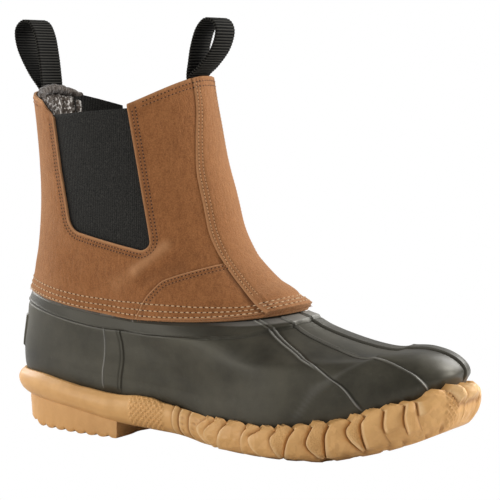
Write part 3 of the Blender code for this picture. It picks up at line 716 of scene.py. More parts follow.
# Ridges and hollows along the lines. A stage is the part of the height where a mark shows.
RIDGES = (
    Mark("strip", "strip edge", -0.5, 0.5, 0.3, "all"),
    Mark("strip", "strip edge", 0.8, 0.7, -0.6, "all"),
    Mark("mid", "mid line", -0.5, 0.5, 0.3, "raised"),
    Mark("mid", "mid line", 0.9, 0.7, -0.6, "raised"),
    Mark("mid", "mid line", 0.0, 0.6, 1.2, "level"),
    Mark("mid", "mid line", -1.7, 0.9, -0.4, "level"),
    Mark("rib", "side rib", -1.5, 0.8, -0.5, "all"),
    Mark("counter", "counter rear", 0.0, 0.5, 0.7, "all"),
)
RIB_CRESTS = (
    Mark("rib", "side rib", 0.0, 0.6, 1.2, "all"),
    Mark("fork", "fork rib", 0.0, 0.6, 1.1, "forked"),
)
# Painted highlights along the crests of ribs and edges, with a little dust.
RIDGE_HIGHLIGHTS = (
    Mark("strip", "strip edge", -0.6, 0.45, 0.3, "all"),
    Mark("rib", "side rib", 0.0, 0.55, 0.6, "all"),
    Mark("fork", "fork rib", 0.0, 0.55, 0.65, "forked"),
    Mark("counter", "counter rear", 0.2, 0.7, 0.7, "all"),
)
SHADOWS = (
    Mark("strip", "strip edge", 0.7, 0.6, 0.85, "all"),
    Mark("mid", "mid line", 0.7, 0.6, 0.8, "raised"),
    Mark("mid", "mid line", -1.5, 0.6, 0.5, "level"),
    Mark("rib", "side rib", -1.3, 0.6, 0.7, "single"),
    Mark("rib", "fork rib", -1.2, 0.5, 0.6, "forked"),
    Mark("counter foot", "counter front", -0.2, 0.4, 0.7, "all"),
    Mark("counter groove", "counter front", 2.2, 0.4, 0.7, "all"),
)
# Top band and toe cap: rows of (angle from the front, level).
BAND_LOW = (
    (0, 6.68), (14, 6.66), (25, 6.57), (33, 6.55), (53.5, 6.2), (68.5, 6.08), (99, 6.0), (111, 5.86),
    (129, 5.95), (151, 6.1), (180, 6.15),
)
BAND_BEVEL = ((0, 6.7), (45, 6.7), (60, 6.78), (98, 6.8), (114, 6.8), (180, 6.82))
BAND_TOP = 6.97
BAND_RELIEF = 1.2
TOE_CAP = ((0, 4.64), (16, 4.6), (32, 4.12), (43.5, 3.52), (49.5, 3.04), (58, 1.96), (63.5, 1.04), (70, 0.2))
TOE_CAP_END = 69
TAB_LEVELS = (2.1, 5.1)
SCUFF_LEVEL = 6.88
# Painted highlight under the band and along its upper bevel, at angles from the front.
UNDER_BAND_HIGHLIGHT = ((30, 60, 90, 110), (0.0, 0.1, 0.15, 0.3))
BAND_BEVEL_HIGHLIGHT = ((0, 45, 60, 92, 112, 180), (0.5, 0.4, 0.08, 0.08, 0.4, 0.3))
# Flange inside the shaft as (level, offset), and the levels of the inside wall.
FLANGE = ((6.99, -0.2), (7.06, -0.4), (7.5, -0.4), (FLANGE_TOP, -0.4))
INSIDE_LEVELS = (FLANGE_TOP, 7.3, 6.5, 5.6, 4.7, 3.8, 2.9, 2.0, 1.0, 0.5, 0.0)
HIGHEST_DROP = 6.9


def line_angles(level):
    """Angle of each of RIB_LINES at a level: the parabola through its three angles, and its bend."""
    rim, middle, top = LINE_LEVELS
    here = np.clip(level, rim, top)
    weights = np.array([
        (here - middle) * (here - top) / ((rim - middle) * (rim - top)),
        (here - rim) * (here - top) / ((middle - rim) * (middle - top)),
        (here - rim) * (here - middle) / ((top - rim) * (top - middle)),
    ])
    bends = np.array([line.bend for line in RIB_LINES])
    angles = np.array([(line.rim, line.middle, line.top) for line in RIB_LINES])
    return angles @ weights + bends * hump(level - BEND_LEVEL, BEND_WIDTH)


def column_shares():
    """Place of each of the shell's columns as (line before it, share of the way to the next line)."""
    angles = line_angles(LINE_LEVELS[1])
    spans = (np.roll(angles, -1) - angles) % 360.0
    places = []
    for index, span in enumerate(spans):
        width = span * MM_PER_DEGREE
        near = [reach for reach in NEAR_LINE if reach < width * 0.45]
        plain = np.arange(near[-1] + COLUMN_GAP, width - near[-1] - COLUMN_GAP / 2, COLUMN_GAP)
        stops = near + list(plain) + [width - reach for reach in reversed(near[1:])]
        places += [(index, stop / width) for stop in stops]
    return places


def mark_layers(marks, past, stages):
    """Heights of marks round a ring, added up within each layer."""
    layers = {}
    for mark in marks:
        height = mark.strength * stages[mark.stage] * hump(past(mark.line) - mark.centre, mark.width)
        layers[mark.layer] = layers.get(mark.layer, 0.0) + height
    return list(layers.values())


def between(past, start, end, ease):
    """1 between two lines and 0 outside them, eased over a distance at each."""
    return smooth((ease / 2 - past(end)) / ease) * smooth((past(start) + ease / 2) / ease)


def shell_relief(level, angles, points, line_columns, per_level):
    """Height of the moulding round one ring of the rubber shell, its painted highlights with a scuff, its painted
    shadows and its polish.
    """
    steps = np.linalg.norm(np.roll(points, -1, axis=0) - points, axis=1)
    along = np.concatenate([[0.0], np.cumsum(steps)[:-1]])
    total = steps.sum()

    def past(name):
        place = along - along[line_columns[name]]
        return (place + total / 2) % total - total / 2

    turn = turn_from_front(angles)
    ahead = turn < 90
    raised = smooth((level - 3.7) / 0.9)
    forked = smooth((level - 3.6) / 0.8)
    stages = {"all": 1.0, "raised": raised, "level": 1.0 - raised, "forked": forked, "single": 1.0 - forked}
    relief = np.zeros(len(angles))
    dust_and_highlight = np.zeros(len(angles))
    painted_shadow = np.zeros(len(angles))
    for side, far in ((1.0, ""), (-1.0, "far ")):
        def beside(name):
            return past(far + name) * side

        mid = beside("mid line")
        front = beside("counter front")
        counter = smooth((front + 0.4) / 0.8) * smooth((0.4 - beside("counter rear")) / 0.8)
        relief += sum(mark_layers(RIDGES, beside, stages))
        relief += np.maximum.reduce(mark_layers(RIB_CRESTS, beside, stages))
        relief += counter * (0.85 - 0.35 * hump(front - 1.6, 0.6))
        # Painted highlight along the mid line, brightest low down near the toe.
        mid_highlight = (0.9 - 0.75 * raised) * hump(mid + 0.2 * (1.0 - raised), 0.55)
        dust_and_highlight = np.maximum.reduce([dust_and_highlight, mid_highlight, *mark_layers(RIDGE_HIGHLIGHTS, beside, stages)])
        painted_shadow = np.maximum.reduce([painted_shadow, *mark_layers(SHADOWS, beside, stages)])
    inside_mid = between(past, "far mid line", "mid line", 0.8)
    relief += between(past, "far strip edge", "strip edge", 0.8) * ahead + 0.9 * raised * inside_mid * ahead
    tab_low, tab_high = TAB_LEVELS
    tab_height = smooth((level - tab_low) / 0.15) * smooth((tab_high - level) / 0.15)
    relief += between(past, "tab edge", "far tab edge", 1.0) * ~ahead * tab_height
    toe = (curve_at(TOE_CAP, turn) - level) * per_level
    on_toe = turn < TOE_CAP_END
    relief += 0.8 * smooth((toe + 1.2) / 2.4) * smooth((46.0 - turn) / 30.0) * smooth((level - 1.5) / 2.5)
    relief += 0.4 * hump(toe, 2.6) * on_toe * smooth((level - 1.0) / 1.0)
    # Faint painted highlight along the toe cap's edge.
    toe_highlight = 0.10 * hump(toe, 1.0 + 2.0 * smooth((turn - 46.0) / 12.0)) * on_toe
    dust_and_highlight = np.maximum(dust_and_highlight, toe_highlight * (1.0 - inside_mid * ahead))
    relief *= smooth((level - 0.9) / 0.5)

    bevel = curve_at(BAND_BEVEL, turn)
    over = (level - curve_at(BAND_LOW, turn)) * per_level
    on_band = smooth(over / 1.0)
    carried = 0.8 * smooth((50.0 - turn) / 12.0)
    rear_flush = 1.0 - 0.55 * smooth((turn - 130.0) / 35.0)
    bevel_drop = 1.25 * np.clip((level - bevel) / (BAND_TOP - bevel), 0.0, 1.0)
    band = (BAND_RELIEF - bevel_drop) * rear_flush + carried * relief
    relief = relief * (1 - on_band) + np.maximum(relief * 0.6, band) * on_band
    relief += 0.25 * hump(over - 1.0, 0.7) - 0.3 * hump(over + 0.6, 0.7)
    below_band = smooth((level - 1.0) / 0.4) * (1.0 - on_band)
    throat = between(past, "far mid line", "mid line", 1.2) * ahead
    # Painted highlights under the band, on its bevel and on the throat block, and a real scuff on the band's top.
    dust_and_highlight = np.maximum.reduce([
        dust_and_highlight * below_band,
        np.interp(turn, *UNDER_BAND_HIGHLIGHT) * hump(over + 0.9, 0.4),
        np.interp(turn, *BAND_BEVEL_HIGHLIGHT) * smooth((level - bevel) / 0.05),
        throat * on_band * (0.4 + 0.35 * hump(over - 0.8, 0.8)),
        0.9 * hump(past("scuff"), 0.55) * hump(level - SCUFF_LEVEL, 0.05),
    ])
    # Painted shadow under the band's edge and on its face, and the ribs' painted shadows below it.
    painted_shadow = np.maximum.reduce([
        painted_shadow * np.maximum(below_band, 0.5 * (turn < 40)),
        0.5 * hump(over, 0.7),
        0.5 * on_band * smooth((bevel - level) / 0.06) * smooth((turn - 45.0) / 20.0),
    ])
    polish = smooth(toe / 12.0) * smooth((50.0 - turn) / 20.0)
    return relief - vamp_drop(level, angles), dust_and_highlight, painted_shadow * (1.0 - 0.7 * (dust_and_highlight > 0.4)), polish


def vamp_drop(level, angles):
    """Depth of the vamp's ground under the reference surface, which its raised centre strip meets."""
    ahead = smooth((64.0 - turn_from_front(angles)) / 34.0)
    return 2.0 * ahead * smooth((level - 1.3) / 1.6) * (1.0 - 0.55 * smooth((level - 6.3) / 0.5))


def wall_drop(level, angles):
    """The vamp's drop on the flange and the inside wall, where it fades out upward."""
    return vamp_drop(min(level, HIGHEST_DROP), angles) * smooth((7.4 - level) / 0.4)


def make_rubber_shell(material):
    """Moulded rubber foot: ribs, toe cap, counter strips, heel tab and top band in one hollow wall."""
    places = column_shares()
    before = np.array([index for index, share in places])
    share = np.array([part for index, part in places])
    line_columns = {
        RIB_LINES[index].name: column for column, (index, part) in enumerate(places) if part == 0.0
    }
    levels = np.concatenate([
        [0.0, 0.5], np.linspace(0.9, 5.6, 74), np.linspace(5.65, 6.44, 25), np.linspace(6.46, 6.66, 20),
        np.linspace(6.69, BAND_TOP, 9),
    ])
    rings = []
    paints = {"dust_and_highlight": [], "painted_shadow": [], "polish": []}
    for level in levels:
        lines = line_angles(level)
        spans = (np.roll(lines, -1) - lines) % 360.0
        angles = lines[before] + spans[before] * share
        points = last_points(level, angles)
        per_level = np.linalg.norm(last_points(level + 0.05, angles) - points, axis=1) / 0.05
        relief, *row_paints = shell_relief(level, angles, points, line_columns, per_level)
        rings.append(points + last_normals(level, angles) * relief[:, None])
        for values, painted in zip(row_paints, paints.values()):
            painted.append(values)
    for level, offset in FLANGE:
        rings.append(skin(level, angles, offset - wall_drop(level, angles)))
    for level in INSIDE_LEVELS:
        rings.append(skin(level, angles, -RUBBER_WALL - 0.8 * wall_drop(level, angles)))
    faces = grid_faces(len(rings), len(angles), wrap_columns=True, wrap_rows=True)
    points = np.concatenate(rings)
    shell = new_piece("rubber_foot", points, faces, material, "dark_rubber", "rubber_shell", 60.0)
    for name, painted in paints.items():
        paint(shell, name, np.concatenate(painted))


# Suede shaft and its overlays.

# Each fold's last column is painted light: a painted highlight along its ridge when above 0, painted shade in its
# hollow when below 0.
CREASES = (
    Crease("fold below the gore", -1, 128.5, 121, 111, 106, 1.7, 3.2, 0.5),
    Crease("tail of the fold", -1, 110, 105, 98, 97, 0.8, 5.0, 0.16),
    Crease("hollow under the fold", -1, 138, 110, 117, 102, -1.2, 4.5, -0.2),
    Crease("instep swell", 0, 148, 152, 154, 132, 0.8, 14.0, 0.0),
    Crease("instep hollow", 0, 166, 111, 180, 98, -2.0, 9.0, 0.0),
    Crease("ankle hollow", -1, 40, 128, 62, 112, -0.8, 8.0, 0.0),
    Crease("heel roll", 0, 26, 104, 70, 97, 0.7, 6.0, 0.0),
    Crease("inner fold below the gore", 1, 121, 111.5, 100, 102, 1.1, 4.8, 0.25),
    Crease("inner hollow", 1, 128, 108, 110, 95, -0.8, 5.0, -0.15),
    Crease("back hollow", 1, 38, 150, 52, 122, -0.7, 9.0, 0.0),
)
# Distances of the rows of stitches from an edge.
STITCH_ROWS = (1.8, 3.9)
STRIP_ROWS = (1.6, 3.9)
PANEL_ROWS = (1.7, 3.8)
ROW_WIDTH = 0.8
DIP_WIDTH = 0.75
PANEL_LOW = 7.06
NOTCH_ROLL = 0.6
NOTCH_ROLL_OUT = 1.6
FRAY_COUNT = 700
FRAY_LENGTH = 1.5
FRAY_RADII = (0.09, 0.07, 0.03)


def notch_path(side, margin=0.0):
    """Side view of a notch's edge from its rear top corner, round the bottom, to its front top corner."""
    path = resample(rounded_outline(NOTCH if side < 0 else INNER_NOTCH), 1.0)
    return moved_sideways(path, -margin) if margin else path


def notch_distance(points):
    """Distance in side view from the edge of the notch on a point's own side."""
    place = points[..., [0, 2]]
    outer = distance_to_path(place, notch_path(OUTER))
    return np.where(points[..., 1] < 0, outer, distance_to_path(place, notch_path(INNER)))


def crease_sum(points, column):
    """Folds of the shaft, each as strong as one of its columns says."""
    total = np.zeros(points.shape[:-1])
    for crease in CREASES:
        path = np.array([(crease.x0, crease.z0), (crease.x1, crease.z1)], float)
        reach = distance_to_path(points[..., [0, 2]], path)
        here = np.ones(total.shape) if crease.side == 0 else smooth(points[..., 1] * crease.side / 12.0)
        total += getattr(crease, column) * hump(reach, crease.width) * here
    return total


def stitch_dips(edge, rows, strength, width):
    """Marks of rows of stitches, at distances from an edge."""
    return sum(strength * hump(edge - row, width) for row in rows)


def suede_relief(points):
    """Folds, and the dip of each row of stitches along the notch."""
    edge = notch_distance(points)
    dips = stitch_dips(edge, STITCH_ROWS, 0.22, ROW_WIDTH)
    return crease_sum(points, "height") - dips + 0.12 * hump(edge - 1.0, 1.5)


def rim_wear(points):
    """Paleness of the suede along its collar and its lower edge."""
    angle = np.linspace(0.0, 360.0, 121)
    wear = np.zeros(points.shape[:-1])
    for level, strength, width in ((COLLAR, 0.5, 1.6), (JOINT, 0.45, 1.0)):
        rim = skin(level, angle, SUEDE_OUT)
        wear = np.maximum(wear, strength * hump(distance_to_path(points, rim), width))
    return wear


def strip_edge_shadow(points):
    """Painted shadow just outside the front strip's edges, where its raised edge casts shade."""
    beyond = np.abs(points[..., 1]) - curve_at(STRIP_EDGE, points[..., 2])
    return 0.75 * hump(beyond - 0.3, 1.0) * (points[..., 0] > 95.0)


def panel_edge(side):
    """Upper edge of a side panel as points on the boot's surface."""
    angle = np.linspace(14.0, 87.5, 90)
    return skin(curve_at(PANEL_TOP, angle), angle * -side, SUEDE_OUT)


def make_shaft(material):
    """Hollow suede shaft with a notch on each side."""
    levels = np.concatenate([[JOINT, 7.03], np.linspace(7.08, COLLAR - 0.06, 116), [COLLAR - 0.03, COLLAR]])
    angles = np.linspace(0.0, 360.0, 300, endpoint=False)
    level, angle = np.meshgrid(levels, angles, indexing="ij")
    relief = suede_relief(last_points(level, angle))
    thick = smooth((level - JOINT) / 0.08) * smooth((COLLAR - level) / 0.06)
    outer = skin(level, angle, SUEDE_OUT - 0.5 * (1 - thick) + relief)
    inner = skin(level, angle, SUEDE_IN + relief * 0.6)
    shaft = new_piece("suede_shaft_skin", *sleeve(outer, inner), material, "suede", "suede_shaft")
    cut(shaft, rounded_outline(NOTCH), -CUT_REACH, 0.0)
    cut(shaft, rounded_outline(INNER_NOTCH), 0.0, CUT_REACH)
    cut(shaft, rounded_outline(COLLAR_DIP), -CUT_REACH, CUT_REACH)
    places = np.array([vertex.co for vertex in shaft.data.vertices]) / MM - SHIFT
    edge = notch_distance(places)
    tint = crease_sum(places, "tint")
    # Pale edges and wear, with the folds' painted highlights.
    paint(shaft, "wear_and_highlight", np.maximum.reduce([0.6 * hump(edge, 0.8), tint, rim_wear(places)]))
    rows = stitch_dips(edge, STITCH_ROWS, 0.3, ROW_WIDTH)
    seam = np.minimum(*(distance_to_path(places, panel_edge(side)) for side in (OUTER, INNER)))
    # Painted shade: stitch rows, fold hollows, the shadow beside the front strip and under the side panels' upper
    # edges.
    paint(shaft, "shade", np.maximum.reduce([rows, -tint, strip_edge_shadow(places), 0.45 * hump(seam, 1.0)]))


def below_collar(path, level, collar_gap, rear_top):
    """Which points of a notch's path lie below the collar, and behind it below the collar's dip."""
    return (level < COLLAR - collar_gap) & ((path[:, 0] > 70.0) | (path[:, 1] < rear_top))


def make_notch_rolls(material):
    """Rolled suede edge round each notch."""
    parts = []
    for side in (OUTER, INNER):
        path = notch_path(side, -0.1)
        level, angle = side_view(path[:, 0], path[:, 1], side)
        keep = below_collar(path, level, 0.02, 198.0)
        parts.append(tube(skin(level[keep], angle[keep], NOTCH_ROLL_OUT), NOTCH_ROLL))
    rolls = new_piece("notch_edge_roll", *joined(parts), material, "suede")
    paint(rolls, "wear_and_highlight", 0.8)
    paint(rolls, "shade", 0.0)


def strip_angle(level):
    """Angle of the front strip's edge on the outer side at each level."""
    step = 0.2
    angle = np.full(np.shape(level), 18.0)
    for _ in range(30):
        here = last_points(level, angle)
        ahead = last_points(level, angle + step)
        slope = (np.abs(ahead[..., 1]) - np.abs(here[..., 1])) / step
        miss = curve_at(STRIP_EDGE, here[..., 2]) - np.abs(here[..., 1])
        angle = np.clip(angle + np.clip(miss / np.maximum(slope, 0.2), -4, 4), 4.0, 40.0)
    return angle


def make_fray(material):
    """Short loose fibres along the suede's lower edge."""
    random = np.random.default_rng(7)
    angle = random.uniform(0.0, 360.0, FRAY_COUNT)
    turn = turn_from_front(angle)
    level = np.full(FRAY_COUNT, JOINT + 0.03)
    offset = np.where(turn < PANEL_END, OVERLAY_OUT, SUEDE_OUT) - random.uniform(0.1, 0.9, FRAY_COUNT)
    root = skin(level, angle, offset)
    out = last_normals(level, angle)
    down = unit(last_points(level - 0.1, angle) - last_points(level, angle))
    around = np.cross(out, down)
    length = FRAY_LENGTH * random.uniform(0.3, 1.0, FRAY_COUNT) * (1.0 + 0.8 * (turn < 30.0))
    lean = random.normal(0.0, 0.5, (FRAY_COUNT, 2))
    turns = np.array([0.0, 2.1, 4.2])
    faces = grid_faces(3, 3, wrap_columns=True) + [[0, 1, 2], [8, 7, 6]]
    parts = []
    for i in range(FRAY_COUNT):
        way = unit(down[i] + around[i] * lean[i, 0] + out[i] * (0.25 + lean[i, 1] * 0.6))
        tip = way + around[i] * lean[i, 1] * 0.3
        spine = root[i] + np.array([way * -0.3, way * length[i] * 0.5, tip * length[i]])
        ring = np.cos(turns)[:, None] * around[i] + np.sin(turns)[:, None] * out[i]
        points = spine[:, None] + ring * np.array(FRAY_RADII)[:, None, None]
        parts.append((points.reshape(-1, 3), faces))
    fray = new_piece("frayed_edge", *joined(parts), material, "suede")
    paint(fray, "wear_and_highlight", 0.6)
    paint(fray, "shade", 0.0)


def strip_rise(level):
    """Extra height of the front strip's lower part, which bulges most at its end."""
    pinch = 0.5 * hump(level - 7.8, 0.25) - 0.7 * hump(level - 7.42, 0.12)
    return smooth((9.8 - level) / 1.0) + 1.3 * smooth((7.9 - level) / 0.7) + pinch


def rolled_edge(inward, height, width):
    """Drop of an overlay's face at its rounded edge."""
    return height * (1.0 - np.sqrt(np.clip(inward / width, 0.0, 1.0)))


def make_front_strip(material):
    """Strip down the front, with rolled edges and the dips of its stitches."""
    levels = np.concatenate([[7.0, 7.03], np.linspace(7.08, COLLAR - 0.05, 116), [COLLAR - 0.01]])
    across = np.linspace(-1.0, 1.0, 61)
    across = np.sign(across) * (1.0 - (1.0 - np.abs(across)) ** 1.35)
    level, share = np.meshgrid(levels, across, indexing="ij")
    angle = share * strip_angle(levels)[:, None]
    base = last_points(level, angle)
    inward = (1.0 - np.abs(share)) * curve_at(STRIP_EDGE, base[..., 2])
    top = OVERLAY_OUT + strip_rise(level) + crease_sum(base, "height")
    dips = stitch_dips(inward, STRIP_ROWS, 0.3, DIP_WIDTH)
    outer = skin(level, angle, top - rolled_edge(inward, 0.9, 1.1) - dips)
    inner = skin(level, angle, OVERLAY_IN)
    strip = new_piece("front_strip_skin", *slab(outer, inner), material, "suede", "front_strip")
    paint(strip, "wear_and_highlight", np.maximum(0.45 * hump(inward, 1.2) + 0.12, rim_wear(outer)))
    paint(strip, "shade", stitch_dips(inward, STRIP_ROWS, 0.25, ROW_WIDTH))


def make_side_panel(name, side, material, node):
    """Overlay beside the throat; its upper edge is a level for each angle."""
    angles = np.concatenate([np.linspace(14.0, 76.0, 70), np.linspace(76.6, 87.4, 30)])
    tops = curve_at(PANEL_TOP, angles)
    share = 1.0 - (1.0 - np.linspace(0.0, 1.0, 40)) ** 1.5
    share, angle = np.meshgrid(share, angles * -side, indexing="ij")
    level = PANEL_LOW + (np.maximum(tops, PANEL_LOW + 0.015)[None, :] - PANEL_LOW) * share
    base = last_points(level, angle)
    inward = distance_to_path(base, last_points(tops, angles * -side))
    dips = stitch_dips(inward, PANEL_ROWS, 0.28, DIP_WIDTH)
    top = OVERLAY_OUT - rolled_edge(inward, 0.8, 0.9) - dips + crease_sum(base, "height")
    sheet = slab(skin(level, angle, top), skin(level, angle, OVERLAY_IN))
    panel = new_piece(name, *sheet, material, "suede", node)
    low_wear = 0.4 * hump((level - PANEL_LOW) * 10.0, 0.9)
    paint(panel, "wear_and_highlight", np.maximum(0.8 * hump(inward, 0.8), low_wear))
    # Painted shade in the stitch rows and the shadow beside the front strip.
    paint(panel, "shade", np.maximum(stitch_dips(inward, PANEL_ROWS, 0.25, ROW_WIDTH), strip_edge_shadow(base)))


# Elastic, lining and webbing.

GORES = (
    Gore("outer_gore_elastic", OUTER, "gore_lateral", 71.5, 99.0, 6860.0, 0.0),
    Gore("inner_gore_elastic", INNER, "gore_medial", 71.5, 96.5, 6790.0, 2.2),
)
GORE_LOW = 108.0
# Top edge of a gore as (x, z), and its rear and front edges as (z, x).
GORE_TOP = ((43, 198.9), (50, 199.5), (103.5, 204), (110.5, 204.6))
GORE_REAR = ((100, 60), (121, 58), (165, 49), (207, 43))
GORE_FRONT = ((100, 132), (115.5, 129), (207, 110.5))
FACING_ANGLES = (206.0, 248.0)
FACING_LOW = 11.0
FACING_THICK = 0.7
PAD_ANGLES = (140.0, 214.0)
PAD_RADIUS = 3.0
PAD_END_RADIUS = 1.2
PAD_RISE = 0.9
PAD_POINTS = 120
# Loops as (distance out, height) from the collar.
FRONT_LOOP = (
    (-1.6, 8), (-0.4, 18.5), (2.6, 28.5), (8.2, 34.5), (14.2, 33.5), (16.8, 27), (13.8, 16.5), (6.6, 7),
)
BACK_LOOP = (
    (-1.9, 9), (-1.0, 22), (1.2, 34), (5.5, 42.5), (12.0, 44), (17.0, 38), (15.0, 26), (7.4, 11),
)
LOOP_WIDTH = 22.0
LOOP_THICK = 1.4
LOOP_TUCK = 13.0
LOOP_BOW_RADIUS = 30.0
LOOP_BOW_FADE = 30.0
LOOP_BORDER = (0.3, 0.6, 0.9, 0.95, 0.985, 1.0)
RIB_PITCH = 1.8
RIB_HEIGHT = 0.42


def make_gore(gore, material):
    """Elastic panel behind a notch, with a folded top edge."""
    share = np.concatenate([np.linspace(0.0, 0.965, 70), [0.972, 0.98, 0.988, 0.995, 1.0]])
    share, across = np.meshgrid(share, np.linspace(0.0, 1.0, 60), indexing="ij")
    x = np.full(share.shape, 80.0)
    for _ in range(3):
        top = curve_at(GORE_TOP, x) - gore.front_dip * smooth((x - 70.0) / 20.0)
        z = GORE_LOW + (top - GORE_LOW) * share
        x = curve_at(GORE_REAR, z) + (curve_at(GORE_FRONT, z) - curve_at(GORE_REAR, z)) * across
    level, angle = side_view(x, z, gore.side)
    below = top - z
    hem = 0.5 * smooth((3.2 - below) / 0.6) * np.sqrt(np.clip(below / 0.8, 0.0, 1.0))
    sag = 0.5 * hump(across - 0.5, 0.35) * hump(share - 0.45, 0.4)
    outer = skin(level, angle, hem - sag - 0.15)
    inner = skin(level, angle, -GORE_WALL - 0.5 * hem - sag)
    panel = new_piece(gore.name, *slab(outer, inner), material, "elastic", gore.node)


def lining_offset(level, angle, offset):
    """Offset of the lining, pushed in where the webbing is tucked behind it."""
    turn = turn_from_front(angle)
    behind = np.maximum(hump(turn, 17.0), hump(180.0 - turn, 20.0))
    return offset - 1.5 * behind * smooth((level - 13.0) / 0.5)


def make_lining(material):
    """Knitted lining inside the shaft, open at the gores and folded at the back."""
    levels = np.linspace(FLANGE_TOP - 0.6, COLLAR - 0.03, 90)
    angles = np.linspace(0.0, 360.0, 240, endpoint=False)
    level, angle = np.meshgrid(levels, angles, indexing="ij")
    rear = smooth((turn_from_front(angle) - 140.0) / 10.0)
    folds = 1.3 * np.abs(np.sin(np.radians((angle - 180.0) * 15.0))) * rear
    folds = folds * smooth((level - 12.4) / 0.3) * smooth((COLLAR - 0.15 - level) / 0.1)
    outer = skin(level, angle, lining_offset(level, angle, LINING_OUT))
    inner = skin(level, angle, lining_offset(level, angle, LINING_IN) - folds)
    lining = new_piece("knit_lining", *sleeve(outer, inner), material, "footbed")
    cut(lining, notch_path(OUTER, 3.0), -CUT_REACH, 0.0)
    cut(lining, notch_path(INNER, 3.0), 0.0, CUT_REACH)


def make_facing(material):
    """Black facing on the lining, behind the inner notch."""
    levels = np.linspace(FACING_LOW, COLLAR - 0.02, 30)
    level, angle = np.meshgrid(levels, np.linspace(*FACING_ANGLES, 40), indexing="ij")
    offset = lining_offset(level, angle, LINING_IN - 0.25)
    sheet = slab(skin(level, angle, offset), skin(level, angle, offset - FACING_THICK))
    facing = new_piece("black_facing", *sheet, material, "elastic")
    cut(facing, notch_path(INNER, -3.0), 0.0, CUT_REACH)


def make_roll(material):
    """Padded knit roll along the collar at the back."""
    angle = np.linspace(*PAD_ANGLES, PAD_POINTS)
    share = np.linspace(-1.0, 1.0, PAD_POINTS)
    thick = PAD_END_RADIUS + (PAD_RADIUS - PAD_END_RADIUS) * np.sqrt(1.0 - share ** 2)
    path = skin(COLLAR - 0.03, angle, -thick - 0.3 - 2.6 * hump(angle - 180.0, 20.0))
    path[:, 2] += PAD_RISE * (1.0 - share ** 2) + 0.25 * np.sin(20.0 * share)
    roll = new_piece("knit_roll", *tube(path, thick + 0.15 * np.sin(33.0 * share), 18), material, "footbed")


def loop_path(rows, angle, direction):
    """Centre line of a loop in side view, with its tucked ends, as (x, z), and the collar's height."""
    collar, below = last_points(np.array([COLLAR, COLLAR - 0.7]), angle)
    slope = (collar[0] - below[0]) / (collar[2] - below[2])
    inner = direction * -(1.5 * LOOP_THICK + 0.3)
    outer = direction * -0.5 * LOOP_THICK

    def tucked(offset, drop):
        return collar[0] + offset - slope * drop, collar[2] - drop

    knots = [tucked(inner, LOOP_TUCK), tucked(inner, LOOP_TUCK / 2), tucked(inner, 0.0)]
    knots += [(collar[0] + direction * out, collar[2] + up) for out, up in rows]
    knots += [tucked(outer, 0.0), tucked(outer, LOOP_TUCK / 2), tucked(outer, LOOP_TUCK)]
    knots = np.array(knots)
    pulls = np.gradient(knots, axis=0)
    part = np.linspace(0.0, 1.0, 24, endpoint=False)[:, None]
    path = [
        hermite(knots[i], knots[i + 1], pulls[i], pulls[i + 1], part) for i in range(len(knots) - 1)
    ]
    return np.concatenate(path + [knots[-1:]]), collar[2]


def make_loop(name, rows, angle, direction, material, node):
    """Ribbed webbing folded to a loop."""
    path, collar_z = loop_path(rows, angle, direction)
    path = resample(path, RIB_PITCH / 5.0)
    along = unit(np.gradient(path, axis=0))
    across = np.stack([-along[:, 1], along[:, 0]], axis=1)
    rib = np.abs(np.cos(math.pi * lengths_along(path) / RIB_PITCH))[:, None]
    share = np.array([-place for place in reversed(LOOP_BORDER)] + [0.0, *LOOP_BORDER])
    border = np.sqrt(np.clip((1.0 - np.abs(share)) / 0.05, 0.0, 1.0))
    fade = 1.0 - 0.7 * smooth((path[:, 1] - collar_z) / LOOP_BOW_FADE)
    y = share * LOOP_WIDTH / 2.0
    bow = -direction * fade[:, None] * y[None, :] ** 2 / (2.0 * LOOP_BOW_RADIUS)
    half = (LOOP_THICK / 2.0 - RIB_HEIGHT / 2.0 + RIB_HEIGHT * rib) * (0.35 + 0.65 * border)
    sides = []
    for thick in (half, -half):
        sides.append(np.stack([
            path[:, 0, None] + bow + across[:, 0, None] * thick,
            np.broadcast_to(y, thick.shape),
            path[:, 1, None] + across[:, 1, None] * thick,
        ], axis=-1))
    loop = new_piece(name, *slab(*sides), material, "webbing", node, 80.0)
    # How near each point is to a rib's crest, for the painted highlight.
    paint(loop, "rib_highlight", np.tile(np.broadcast_to(rib, half.shape).ravel(), 2))


# Stitches.

LOW_SEAM = Seam(pitch=3.5, length=2.3, width=0.78, lift=0.05, hole=1.0)
NOTCH_SEAM = Seam(pitch=2.2, length=1.25, width=0.6, lift=-0.08, hole=1.2)
STRIP_SEAM = Seam(pitch=2.2, length=1.6, width=0.72, lift=-0.2, hole=0.65)
PANEL_SEAM = Seam(pitch=2.2, length=1.25, width=0.6, lift=-0.2, hole=1.1)
COLLAR_SEAM = Seam(pitch=2.3, length=1.4, width=0.62, lift=0.03, hole=1.1)
# The lowest and highest of the rows along the lower edge, as (angle from the front, level).
LOW_ROW = ((0, 7.13), (30, 7.13), (60, 7.16), (75, 7.23), (92.5, 7.31), (115, 7.15), (142, 7.12), (180, 7.12))
TOP_ROW = ((0, 7.42), (32, 7.42), (56, 7.64), (72, 7.84), (89.5, 7.95), (114, 7.8), (144, 7.76), (180, 7.75))
COLLAR_DROPS = (0.12, 0.24)
# A thread's girth and height along its length, in shares of its own size.
THREAD_PLACES = np.array([-1.0, -0.72, 0.0, 0.72, 1.0])
THREAD_GIRTHS = np.array([0.25, 0.85, 1.0, 0.85, 0.25])
THREAD_HEIGHTS = np.array([-0.75, -0.15, 0.25, -0.15, -0.75])
THREAD_SIDES = 6


